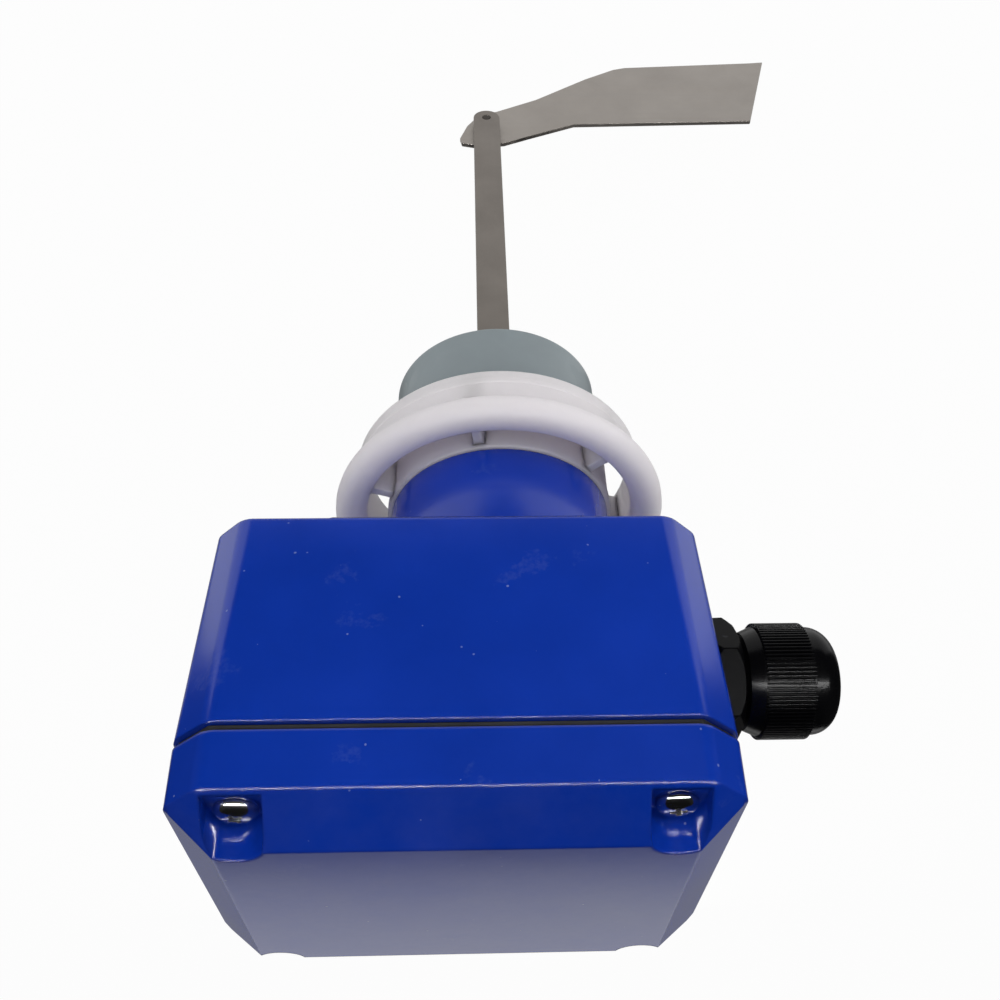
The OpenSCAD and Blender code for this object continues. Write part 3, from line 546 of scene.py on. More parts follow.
FINISHES: dict[str, Finish] = {
    "case_paint": GlossPaint("blue_paint", "Blue gloss paint", (9, 54, 170), 0.15),
    "socket_zinc": ZincCoat("zinc_steel", "Dull zinc", (150, 160, 164), 0.5),
    "screw_zinc": WorkedMetal("bright_zinc", "Bright zinc", (214, 215, 216), 0.1, Grain.TURNED),
    "plate_zinc": ZincCoat(
        "bright_zinc", "Zinc plated sheet", (190, 192, 196), 0.3, metallic=0.95, crystal_scale=240.0, dark=0.8
    ),
    "nut_plastic": MouldedPlastic(
        "white_plastic", "White plastic", (246, 238, 242), 0.5, skin_scale=500.0, relief_mm=0.004,
        marks=(150, 140, 130), mark_share=0.06, dust=0.02, depth=0.85, shine=0.3,
    ),
    "gland_nylon": MouldedPlastic(
        "black_plastic", "Black nylon", (7, 7, 9), 0.2, skin_scale=800.0,
        marks=(70, 70, 74), mark_share=0.1, dust=0.01, shine=0.12,
    ),
    "hexagon_nylon": MouldedPlastic(
        "black_plastic", "Dull nylon", (6, 6, 8), 0.35, skin_scale=800.0,
        marks=(60, 60, 64), mark_share=0.1, dust=0.0, shine=0.03,
    ),
    "switch_plastic": MouldedPlastic(
        "switch_plastic", "Dark moulded plastic", (44, 44, 48), 0.5, skin_scale=800.0, relief_mm=0.004,
        marks=(90, 90, 92), mark_share=0.06,
    ),
    "plunger_plastic": MouldedPlastic("red_plastic", "Red plastic", (190, 34, 28), 0.3),
    "rubber": SoftRubber("black_rubber", "Black rubber", (18, 18, 18), 0.6),
    "bar_steel": WorkedMetal(
        "stainless", "Drawn stainless bar", (130, 124, 118), 0.36, Grain.ALONG_Z, 0.003, stain=0.3
    ),
    "sheet_steel": WorkedMetal(
        "stainless", "Rolled stainless sheet", (162, 156, 150), 0.4, Grain.ALONG_X, stain=0.22
    ),
    "turned_steel": WorkedMetal(
        "stainless", "Turned stainless", (180, 177, 172), 0.28, Grain.TURNED, 0.003, stain=0.12
    ),
    "pin_steel": WorkedMetal(
        "stainless", "Dull pin steel", (74, 70, 66), 0.45, Grain.TURNED, 0.003, stain=0.3
    ),
    "bearing_steel": WorkedMetal(
        "bearing_steel", "Ground bearing steel", (196, 197, 200), 0.15, Grain.TURNED, 0.001, stain=0.08
    ),
    "brass": WorkedMetal("brass", "Turned brass", (196, 160, 92), 0.28, Grain.TURNED, 0.003),
    "motor_metal": WorkedMetal(
        "motor_metal", "Drawn motor can", (186, 187, 190), 0.32, Grain.TURNED, stain=0.1
    ),
    "red_lead": MouldedPlastic("red_lead", "Red lead", (160, 26, 20), 0.4, 1500.0, 0.002),
    "blue_lead": MouldedPlastic("blue_lead", "Blue lead", (32, 72, 170), 0.4, 1500.0, 0.002),
}


@cache
def material(finish: str) -> Material:
    """Makes the material of a finish the first time it is asked for, and returns it."""
    return FINISHES[finish].build()


# Mesh tools


def bevel(
    bm: Mesh, geometry: list, offset: float, segments: int, affect: str = "EDGES", clamp: bool = True
) -> None:
    """Bevels edges or points by an offset in millimetres.

    Args:
        bm: The mesh.
        geometry: Its edges or points.
        offset: Size of the bevel.
        segments: Number of steps across the bevel.
        affect: EDGES or VERTICES.
        clamp: Whether the bevel stops where it would run into another.
    """
    bmesh.ops.bevel(
        bm, geom=geometry, offset=offset * MM, offset_type="OFFSET", segments=segments, profile=0.5,
        affect=affect, clamp_overlap=clamp, loop_slide=not clamp, material=-1,
    )


def turned(points: Sequence[Point], steps: int) -> Mesh:
    """Turns a closed profile round the Z axis.

    Args:
        points: Corners of the profile as radius, height and rounding, in millimetres.
        steps: Number of steps round the axis.

    Returns:
        The turned mesh, in metres.
    """
    bm = bmesh.new()
    corners = [bm.verts.new((r * MM, 0.0, z * MM)) for r, z, _ in points]
    bm.faces.new(corners)
    for size in sorted({p[2] for p in points if p[2] > 0}):
        picked = [v for v, p in zip(corners, points) if p[2] == size]
        bevel(bm, picked, size, 3, "VERTICES")
    bmesh.ops.delete(bm, geom=bm.faces[:], context="FACES_ONLY")
    bmesh.ops.spin(
        bm, geom=bm.verts[:] + bm.edges[:], cent=(0, 0, 0), axis=(0, 0, 1), dvec=(0, 0, 0), angle=math.tau,
        steps=steps, use_merge=True, use_duplicate=False,
    )
    bmesh.ops.remove_doubles(bm, verts=bm.verts[:], dist=MERGE)
    bmesh.ops.recalc_face_normals(bm, faces=bm.faces[:])
    return bm


def arc(r: float, z: float, radius: float, turns: Iterable[float]) -> list[Point]:
    """Gives the points of an arc in a profile, at angles in radians round its middle."""
    return [(r + radius * math.cos(turn), z + radius * math.sin(turn), 0.0) for turn in turns]


def thread(start: float, stop: float, pitch: float, *corners: Point) -> list[Point]:
    """Repeats the corners of one turn of a thread, as part of a profile.

    Args:
        start: Height at which the first turn starts.
        stop: Height past which no more turn starts.
        pitch: Step from turn to turn, negative for a thread that runs down.
        corners: Corners of one turn as radius, height above its start and rounding.

    Returns:
        The corners of all turns.
    """
    turns: list[Point] = []
    z = start
    while (stop - z) * pitch > 0:
        turns += [(r, z + rise, rounding) for r, rise, rounding in corners]
        z += pitch
    return turns


def block(size: Point, middle: Point, rounding: float = 0.0) -> Mesh:
    """Makes a block with rounded edges, all sizes in millimetres.

    Args:
        size: Its size along X, Y and Z.
        middle: Its middle.
        rounding: Rounding of its edges.

    Returns:
        The block's mesh, in metres.
    """
    bm = bmesh.new()
    bmesh.ops.create_cube(bm, size=1.0)
    bmesh.ops.scale(bm, vec=Vector(size) * MM, verts=bm.verts[:])
    if rounding > 0:
        bevel(bm, bm.edges[:], rounding, 2)
    bmesh.ops.translate(bm, vec=Vector(middle) * MM, verts=bm.verts[:])
    return bm


def round_off(
    bm: Mesh, offset: float, angle: float, segments: int, pick: Callable[[Vector], bool] = lambda at: True
) -> None:
    """Rounds sharp edges.

    Args:
        bm: The mesh to round.
        offset: Size of the rounding in millimetres.
        angle: Least angle of a sharp edge, in degrees.
        segments: Number of steps across the rounding.
        pick: Says from an edge's middle, in millimetres, whether it is rounded.
    """
    least = math.radians(angle)
    edges = [
        edge
        for edge in bm.edges
        if len(edge.link_faces) == 2
        and edge.calc_face_angle(0.0) > least
        and pick((edge.verts[0].co + edge.verts[1].co) / 2 / MM)
    ]
    if edges:
        bevel(bm, edges, offset, segments, clamp=False)


def joined(parts: Sequence[Mesh]) -> Mesh:
    """Puts several meshes into the first one and returns it.

    Args:
        parts: The meshes. All but the first are used up.

    Returns:
        The first mesh, with the others in it.
    """
    whole = parts[0]
    for part in parts[1:]:
        mesh = bpy.data.meshes.new("part")
        part.to_mesh(mesh)
        part.free()
        whole.from_mesh(mesh)
        bpy.data.meshes.remove(mesh)
    return whole


def placed(bm: Mesh, place: Matrix) -> Mesh:
    """Moves a whole mesh and returns it."""
    bmesh.ops.transform(bm, matrix=place, verts=bm.verts[:])
    return bm


def repeated(make: Callable[[], Mesh], places: Sequence[Matrix]) -> Mesh:
    """Makes the same mesh at several places, as one mesh."""
    return joined([placed(make(), place) for place in places])


def linked(name: str, data: bpy.types.ID) -> Thing:
    """Makes an object of its data and links it to the scene.

    Args:
        name: Name of the object.
        data: Its mesh, curve, lamp or camera.

    Returns:
        The object.
    """
    obj = bpy.data.objects.new(name, data)
    bpy.context.scene.collection.objects.link(obj)
    return obj


def as_object(bm: Mesh, name: str) -> Thing:
    """Makes a linked object of a mesh, which is used up.

    Args:
        bm: The mesh.
        name: Name of the object and its mesh.

    Returns:
        The object.
    """
    mesh = bpy.data.meshes.new(name)
    bm.to_mesh(mesh)
    bm.free()
    return linked(name, mesh)


def taken(obj: Thing, *tools: Thing) -> Mesh:
    """Takes the finished mesh of an object, and removes the object and its tools.

    Args:
        obj: The object.
        tools: Objects that its modifiers use.

    Returns:
        Its mesh after its modifiers.
    """
    mesh = bpy.data.meshes.new_from_object(obj.evaluated_get(bpy.context.evaluated_depsgraph_get()))
    bm = bmesh.new()
    bm.from_mesh(mesh)
    bpy.data.meshes.remove(mesh)
    for spent in (obj, *tools):
        data = spent.data
        bpy.data.objects.remove(spent)
        (bpy.data.curves if isinstance(data, bpy.types.Curve) else bpy.data.meshes).remove(data)
    return bm


def combined(bm: Mesh, others: Sequence[Mesh], operation: str = "DIFFERENCE") -> Mesh:
    """Cuts a mesh by other meshes, or trims it to them.

    Args:
        bm: The mesh that is cut.
        others: The meshes that cut it. They are used up.
        operation: Blender's name of what is done.

    Returns:
        The mesh that is left.
    """
    body = as_object(bm, "body")
    tools = [as_object(other, f"tool {number}") for number, other in enumerate(others)]
    for tool in tools:
        change = body.modifiers.new("cut", "BOOLEAN")
        change.operation = operation
        change.solver = "EXACT"
        change.object = tool
    return taken(body, *tools)


def cad_copy(node: str) -> Mesh:
    """Copies a node of the frame with its triangles merged into clean flat faces.

    Args:
        node: Name of the node.

    Returns:
        The copy's mesh.
    """
    bm = bmesh.new()
    bm.from_mesh(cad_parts[node].data)
    bmesh.ops.remove_doubles(bm, verts=bm.verts[:], dist=0.02 * MM)
    bmesh.ops.dissolve_limit(
        bm, angle_limit=math.radians(0.6), use_dissolve_boundaries=False, verts=bm.verts[:], edges=bm.edges[:]
    )
    return bm


def tube_along(points: Sequence[Point], radius: float) -> Mesh:
    """Makes a round wire along a smooth route.

    Args:
        points: Points of the route in millimetres.
        radius: Radius of the wire in millimetres.

    Returns:
        The wire's mesh, with closed ends.
    """
    curve = bpy.data.curves.new("route", "CURVE")
    curve.dimensions = "3D"
    curve.bevel_depth = radius * MM
    curve.bevel_resolution = 4
    curve.use_fill_caps = True
    line = curve.splines.new("POLY")
    line.points.add(len(points) - 1)
    for point, (x, y, z) in zip(line.points, points):
        point.co = (x * MM, y * MM, z * MM, 1.0)
    obj = linked("route", curve)
    bpy.context.view_layer.update()
    bm = taken(obj)
    bmesh.ops.remove_doubles(bm, verts=bm.verts[:], dist=MERGE)
    bmesh.ops.recalc_face_normals(bm, faces=bm.faces[:])
    return bm


def smooth_route(points: Sequence[Point]) -> list[Point]:
    """Runs a smooth curve through points, as the frame's own leads do.

    Args:
        points: The points in millimetres.

    Returns:
        The points of the curve.
    """
    route: list[Point] = []
    last = len(points) - 1
    for i in range(last):
        a, b, c, d = (Vector(points[max(0, min(last, i + k))]) for k in (-1, 0, 1, 2))
        for k in range(ROUTE_STEPS):
            t = k / ROUTE_STEPS
            square, cube = 2 * a - 5 * b + 4 * c - d, 3 * b - a - 3 * c + d
            route.append(tuple((2 * b + (c - a) * t + square * t * t + cube * t**3) / 2))
    route.append(tuple(points[-1]))
    return route


class Maker:
    """Turns finished meshes into pieces of the object."""

    FLAT_ANGLE = 32.0  # Least angle in degrees at which an edge stays sharp
    SOFT_ANGLE = 24.0  # Least angle in degrees of an edge that a softened node gets rounded

    def __init__(self) -> None:
        """Starts with no piece made."""
        self.count = 0

    def piece(self, bm: Mesh, name: str, body: Body | None, finish: str, nodes: Sequence[str]) -> Thing:
        """Makes one piece of the object.

        Args:
            bm: Its mesh, which is used up.
            name: Its name.
            body: The body it moves with, or None for a piece that is blended between two.
            finish: Its finish, by name.
            nodes: The nodes of the frame that it stands for.

        Returns:
            The new object.
        """
        obj = as_object(bm, name)
        obj.data.materials.append(material(finish))
        for face in obj.data.polygons:
            face.use_smooth = True
        obj.data.set_sharp_from_angle(angle=math.radians(self.FLAT_ANGLE))
        even = obj.modifiers.new("even shading", "WEIGHTED_NORMAL")
        even.keep_sharp = True
        if body is not None:
            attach(obj, body.value)
        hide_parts(*nodes)
        self.count += 1
        where = body.value if body else "two bodies"
        LOG.info("%s: %d faces, on %s", name, len(obj.data.polygons), where)
        return obj

    def dress(self, node: str, finish: str) -> None:
        """Gives a node of the frame its finish and leaves its shape as it is.

        Args:
            node: Name of the node.
            finish: Its finish, by name.
        """
        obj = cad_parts[node]
        obj.data.materials.clear()
        obj.data.materials.append(material(finish))
        LOG.info("%s dressed with %s", node, finish)

    def soften(self, body: Body, finish: str, nodes: dict[str, float]) -> None:
        """Stands copies of nodes with rounded edges in the nodes' places.

        Args:
            body: The body they move with.
            finish: Their finish, by name.
            nodes: Names of the nodes, each with its rounding in millimetres.
        """
        for node, offset in nodes.items():
            bm = cad_copy(node)
            round_off(bm, offset, self.SOFT_ANGLE, 2)
            self.piece(bm, f"{node}_soft", body, finish, [node])


# Sub-assemblies


@dataclass
class Casting:
    """A painted casting, either the lower case with its neck or the lid with its screw pockets."""

    node: str
    name: str
    body: Body
    middle_z: float
    least_sum: float
    corner_round: float = 1.9

    def build(self, maker: Maker) -> None:
        """Rounds the eight upright corners. The paint softens all other edges.

        Args:
            maker: Turns the meshes into pieces.
        """

        def upright(at: Vector) -> bool:
            """Tells an upright corner by its height and its distances from the middle planes."""
            return abs(at.z - self.middle_z) < 1.0 and abs(at.x - CASE_X) + abs(at.y) > self.least_sum

        bm = cad_copy(self.node)
        round_off(bm, self.corner_round, 15.0, 4, upright)
        maker.piece(bm, self.name, self.body, "case_paint", [self.node])


@dataclass
class LidScrews:
    """The four pan head screws of the lid, with cross recesses."""

    shank_r: float = 2.0
    length: float = 26.0
    head_r: float = 4.0
    seat_z: float = 106.2
    spread_x: float = 78.0
    spread_y: float = 63.6
    turns: tuple[float, ...] = (12.0, 48.0, 31.0, 75.0)
    arm: Point = (4.9, 1.3, 4.4)
    arm_z: float = 3.3
    arm_taper: tuple[float, float] = (0.45, 0.6)
    thread_pitch: float = 0.7

    def _screw(self) -> Mesh:
        """Makes one screw, its head on z = 0.

        Returns:
            Its mesh.
        """
        head_r, root_r, tip = self.head_r, self.shank_r * 0.82, -self.length
        outline = [
            (0, -0.6, 0), (head_r * 0.95, 0, 0.12), (head_r, 0.4, 0.25), (head_r, 1.3, 0.5),
            (head_r * 0.86, 2.2, 0.7), (head_r * 0.45, 2.8, 0.8), (0, 2.95, 0),
        ]
        arms = []
        for turn in (0.0, 90.0):
            arm = block(self.arm, (0, 0, self.arm_z), 0.1)
            for v in arm.verts:
                if v.co.z < self.arm_z * MM:
                    v.co.x *= self.arm_taper[0]
                    v.co.y *= self.arm_taper[1]
            arms.append(placed(arm, Matrix.Rotation(math.radians(turn), 4, "Z")))
        core = turned([(0, 1.0, 0), (0.6, 1.1, 0), (1.35, 4.0, 0), (0, 4.0, 0)], 16)
        head = combined(turned(outline, 48), [*arms, core])
        step = self.thread_pitch
        turns = thread(-0.6, tip + 0.8, -step, (root_r, 0, 0), (self.shank_r, -step / 2, 0))
        shank = [(0, 0.1, 0), (root_r, 0.1, 0), *turns, (self.shank_r * 0.6, tip, 0), (0, tip, 0)]
        return joined([head, turned(shank, 32)])

    def build(self, maker: Maker) -> None:
        """Puts a screw into each pocket, each turned its own way.

        Args:
            maker: Turns the meshes into pieces.
        """
        places = []
        corners = [(-1, -1), (-1, 1), (1, -1), (1, 1)]
        for (sx, sy), turn in zip(corners, self.turns):
            at = Vector((CASE_X + sx * self.spread_x / 2, sy * self.spread_y / 2, self.seat_z)) * MM
            places.append(Matrix.Translation(at) @ Matrix.Rotation(math.radians(turn), 4, "Z"))
        maker.piece(repeated(self._screw, places), "cover_screws", Body.COVER, "screw_zinc", ["lid_screws"])


@dataclass
class GripNut:
    """The white hand nut: hub, six spokes, collar with a rolled bead, and its threaded end."""

    height: float = 17.7
    hub_r: float = 28.2
    bore_r: float = 18.1
    collar_r: float = 36.8
    collar_t: float = 2.8
    bead_r: float = 4.0
    bead_out: float = 0.8
    spokes: int = 6
    spoke_t: float = 2.2
    spoke_foot: float = 0.9
    spoke_round: float = 0.35
    first_spoke: float = 11.0
    thread_r: float = 23.8
    thread_depth: float = 19.0
    pitch: float = 2.31
    pocket_r: float = 20.9
    pocket_z: float = -9.8

    def _hub(self) -> Mesh:
        """Makes the hub and the thread under it, as one turned piece.

        Returns:
            Its mesh.
        """
        top, low = self.height - 0.2, -self.thread_depth
        root_r, lip_r = self.thread_r - 1.2, self.hub_r + 0.25
        outline: list[Point] = [
            (self.bore_r, top, 0.5), (self.bore_r, self.pocket_z, 0.2), (self.pocket_r, self.pocket_z, 0.2),
            (self.pocket_r, low, 0.3), (root_r, low, 0),
            *thread(low, -2.6, self.pitch, (self.thread_r, 1.0, 0), (root_r, 2.2, 0)),
            (self.thread_r - 1.0, 0, 0), (self.hub_r, 0, 0.4), (self.hub_r, top - 3.2, 0),
            (lip_r, top - 3.0, 0), (lip_r, top - 1.4, 0), (self.hub_r - 0.1, top, 0.6),
        ]
        return turned(outline, 120)

    def _grip(self) -> Mesh:
        """Makes the collar and its bead.

        Returns:
            Its mesh.
        """
        outer, inner = self.collar_r, self.collar_r - self.collar_t
        band_r, bead_z = outer + 0.18, self.height - 2.0
        turns = [math.radians(angle) for angle in range(-110, 191, 15)]
        outline: list[Point] = [
            (inner, 0, 0.6), (outer - 1.0, 0, 0.4), (outer, 1.0, 0.5), (outer, 3.1, 0.1),
            (band_r, 3.3, 0.1), (band_r, 4.6, 0.1), (outer, 4.8, 0.1),
            *arc(outer + self.bead_out, bead_z, self.bead_r, turns), (inner, bead_z - 2.6, 0.6),
        ]
        return turned(outline, 144)

    def _spoke(self) -> Mesh:
        """Makes one spoke with wider feet, lying along +X.

        Returns:
            Its mesh.
        """
        inner, outer = self.hub_r - 0.8, self.collar_r - self.collar_t + 1.0
        low, high = 1.2, self.height - 1.2
        middle, half = (inner + outer) / 2, (outer - inner) / 2
        web = block((outer - inner, self.spoke_t, high - low), (middle, 0, (low + high) / 2))
        lengthwise = [e for e in web.edges if abs(e.verts[0].co.x - e.verts[1].co.x) > 1 * MM]
        bmesh.ops.subdivide_edges(web, edges=lengthwise, cuts=5, use_grid_fill=True)
        for v in web.verts:
            v.co.y *= 1.0 + self.spoke_foot * (abs(v.co.x / MM - middle) / half) ** 4
        round_off(web, self.spoke_round, 40.0, 2)
        return web

    def build(self, maker: Maker) -> None:
        """Joins hub, grip and spokes.

        Args:
            maker: Turns the meshes into pieces.
        """
        places = [
            Matrix.Rotation(math.radians(-90 + self.first_spoke + i * 360 / self.spokes), 4, "Z")
            for i in range(self.spokes)
        ]
        nut = joined([self._hub(), self._grip(), repeated(self._spoke, places)])
        maker.piece(nut, "grip_nut", Body.NUT, "nut_plastic", ["hand_nut"])


@dataclass
class SteelSocket:
    """The half socket that is welded into the silo's roof, threaded inside."""

    outer_r: float = 27.25
    length: float = 26.0
    bore_r: float = 23.9
    thread_deep: float = 0.9
    pitch: float = 2.31

    def build(self, maker: Maker) -> None:
        """Turns the socket, with open threads below the nut's end.

        Args:
            maker: Turns the meshes into pieces.
        """
        bore, outer, low, step = self.bore_r, self.outer_r, -self.length, self.pitch
        outline: list[Point] = [
            (outer, 0, 0.5), (bore, 0, 0.3), (bore, -19.2, 0),
            *thread(-19.4, low + 2.0, -step, (bore, 0, 0), (bore + self.thread_deep, -step / 2, 0)),
            (bore, low + 1.0, 0), (bore + 1.0, low, 0.2), (outer - 0.9, low, 0.3), (outer, low + 0.9, 0.3),
        ]
        maker.piece(turned(outline, 128), "steel_socket", Body.SOCKET, "socket_zinc", ["weld_socket"])


@dataclass
class CableGland:
    """The black cable gland: hexagon body, rubber parts and ribbed cap nut."""

    wall_x: float = -42.25
    axis_y: float = -10.0
    axis_z: float = 70.5
    hex_af: float = 24.0
    washer_t: float = 1.5
    hex_t: float = 5.3
    hex_round: float = 0.25
    stub_r: float = 10.3
    stub_l: float = 9.0
    inside: float = 11.2
    entry_r: float = 10.0
    bore_r: float = 7.05
    seal_r: float = 8.35
    seat_z: float = 8.8
    mouth_r: float = 6.55
    cap_x: float = 8.3
    cap_r: float = 12.5
    cap_cone: float = 2.8
    cap_ribs: float = 10.7
    cap_chamfer: float = 0.9
    cap_dome: float = 5.5
    rib_count: int = 88
    rib: Point = (1.1, 0.42, 10.2)

    def _axis(self) -> Matrix:
        """Gives the place of the gland's own axis, on which +Z points out of the wall."""
        at = Matrix.Translation(Vector((self.wall_x, self.axis_y, self.axis_z)) * MM)
        return at @ Matrix.Rotation(math.radians(-90), 4, "Y")

    def _body(self) -> Mesh:
        """Makes the hexagon with its two threaded ends.

        Returns:
            Its mesh.
        """
        hexagon = bmesh.new()
        half = self.hex_af / 2
        radius = half / math.cos(math.radians(30)) * MM
        low, high = self.washer_t, self.washer_t + self.hex_t
        bmesh.ops.create_cone(
            hexagon, cap_ends=True, segments=6, radius1=radius, radius2=radius, depth=self.hex_t * MM,
            matrix=Matrix.Translation((0, 0, (low + self.hex_t / 2) * MM)),
        )
        bounds = [
            (0, low - 0.1, 0), (half + 1.2, low - 0.1, 0.3), (half + 1.9, low + 1.0, 0.4),
            (half + 1.9, high - 1.6, 0.4), (half + 0.2, high, 0.3), (0, high, 0),
        ]
        trimmed = combined(hexagon, [turned(bounds, 72)], "INTERSECT")
        round_off(trimmed, self.hex_round, 20.0, 2)
        start, end, pitch, seat_r = -self.inside, high + self.stub_l, 1.5, self.seal_r + 0.05
        entry_root, stub_root = self.entry_r - 0.9, self.stub_r - 0.8
        outline: list[Point] = [
            (self.bore_r, start, 0.3), (entry_root, start, 0),
            *thread(start, -1.2, pitch, (self.entry_r, pitch / 2, 0), (entry_root, pitch, 0)),
            (entry_root, low + 0.5, 0), (stub_root, high - 0.4, 0),
            *thread(high - 0.4, end - 1.4, pitch, (self.stub_r, pitch / 2, 0.1), (stub_root, pitch, 0)),
            (stub_root, end, 0.2), (seat_r, end, 0.2), (seat_r, self.seat_z, 0),
            (self.bore_r, self.seat_z, 0.2),
        ]
        return joined([trimmed, turned(outline, 96)])

    def _cap(self) -> Mesh:
        """Makes the cap nut with its ribs and round nose.

        Returns:
            Its mesh.
        """
        flat_z = self.cap_x + self.cap_cone
        rib_end = flat_z + self.cap_ribs
        dome_z = rib_end + self.cap_chamfer
        dome_r, wall_r, dome = self.cap_r - 0.9, self.cap_r - 0.8, self.cap_dome
        inner, groove_r, mouth_z = self.stub_r + 0.05, 8.45, 25.0
        last = math.acos((self.mouth_r + 0.4 - dome_r + dome) / dome)
        outline: list[Point] = [
            (inner, self.cap_x, 0.2), (self.cap_r - 2.0, self.cap_x, 0.3), (wall_r, flat_z, 0.2),
            (wall_r, rib_end, 0.2), (dome_r, dome_z, 0),
            *arc(dome_r - dome, dome_z, dome, [last * k / 12 for k in range(1, 13)]),
            (self.mouth_r, dome_z + dome * math.sin(last) - 0.35, 0), (self.mouth_r, mouth_z, 0.1),
            (groove_r, mouth_z, 0), (groove_r, dome_z, 0), (inner, dome_z, 0),
        ]
        pitch = 360 / self.rib_count
        middle = (self.cap_r - 0.55, 0, flat_z + self.cap_ribs / 2)
        places = [Matrix.Rotation(math.radians(i * pitch), 4, "Z") for i in range(self.rib_count)]
        ribs = repeated(lambda: block(self.rib, middle, 0.13), places)
        return joined([turned(outline, 120), ribs])

    def _ring(self, outer: float, inner: float, low: float, high: float, rounding: float) -> Mesh:
        """Makes a plain ring on the gland's axis."""
        corners = [(inner, low), (outer, low), (outer, high), (inner, high)]
        return turned([(r, z, rounding) for r, z in corners], 72)

    def build(self, maker: Maker) -> None:
        """Makes the gland's pieces on their axis.

        Args:
            maker: Turns the meshes into pieces.
        """
        axis = self._axis()
        washer = self._ring(12.0, 10.1, 0.0, self.washer_t, 0.4)
        seal = self._ring(8.3, 6.15, self.seat_z, 24.8, 0.5)
        for bm, name, body, finish, node in (
            (self._body(), "gland_hexagon", Body.HOUSING, "hexagon_nylon", "gland_body"),
            (self._cap(), "gland_cap_nut", Body.CLAMP_NUT, "gland_nylon", "gland_cap"),
            (washer, "gland_washer_ring", Body.HOUSING, "rubber", "gland_washer"),
            (seal, "gland_seal_ring", Body.HOUSING, "rubber", "gland_seal"),
        ):
            maker.piece(placed(bm, axis), name, body, finish, [node])
        maker.soften(Body.HOUSING, "gland_nylon", {"gland_locknut": 0.3})


@dataclass
class ShaftLine:
    """Paddle and bar, and the shaft with its bearings, seal and clips inside the neck."""

    soft: tuple[SoftRow, ...] = (
        (Body.VANE, "sheet_steel", {"paddle": 0.28}),
        (Body.ROTOR, "bar_steel", {"shaft_bar": 0.35}),
        (Body.ROTOR, "pin_steel", {"paddle_pin": 0.2}),
        (Body.ROTOR, "turned_steel", {"bar_pin": 0.2, "paddle_washer": 0.05, "shaft": 0.2}),
        (Body.ROTOR, "bearing_steel", {"shaft_circlip": 0.1, "sleeve_screws": 0.1, "output_spindle": 0.3}),
        (Body.ROTOR, "brass", {"drive_sleeve": 0.1}),
        (Body.HOUSING, "bearing_steel", {"spigot_clip": 0.15}),
        (Body.HOUSING, "rubber", {"lid_gasket": 0.35, "shaft_seal": 0.15}),
    )
    kept: tuple[tuple[str, ...], ...] = (
        ("bearing_steel", "bearing_outer_rings", "bearing_inner_rings", "bearing_balls"),
        ("rubber", "spigot_oring"),
    )

    def build(self, maker: Maker) -> None:
        """Rounds the edges that show and dresses the rest.

        Args:
            maker: Turns the meshes into pieces.
        """
        for row in self.soft:
            maker.soften(*row)
        for finish, *nodes in self.kept:
            for node in nodes:
                maker.dress(node, finish)


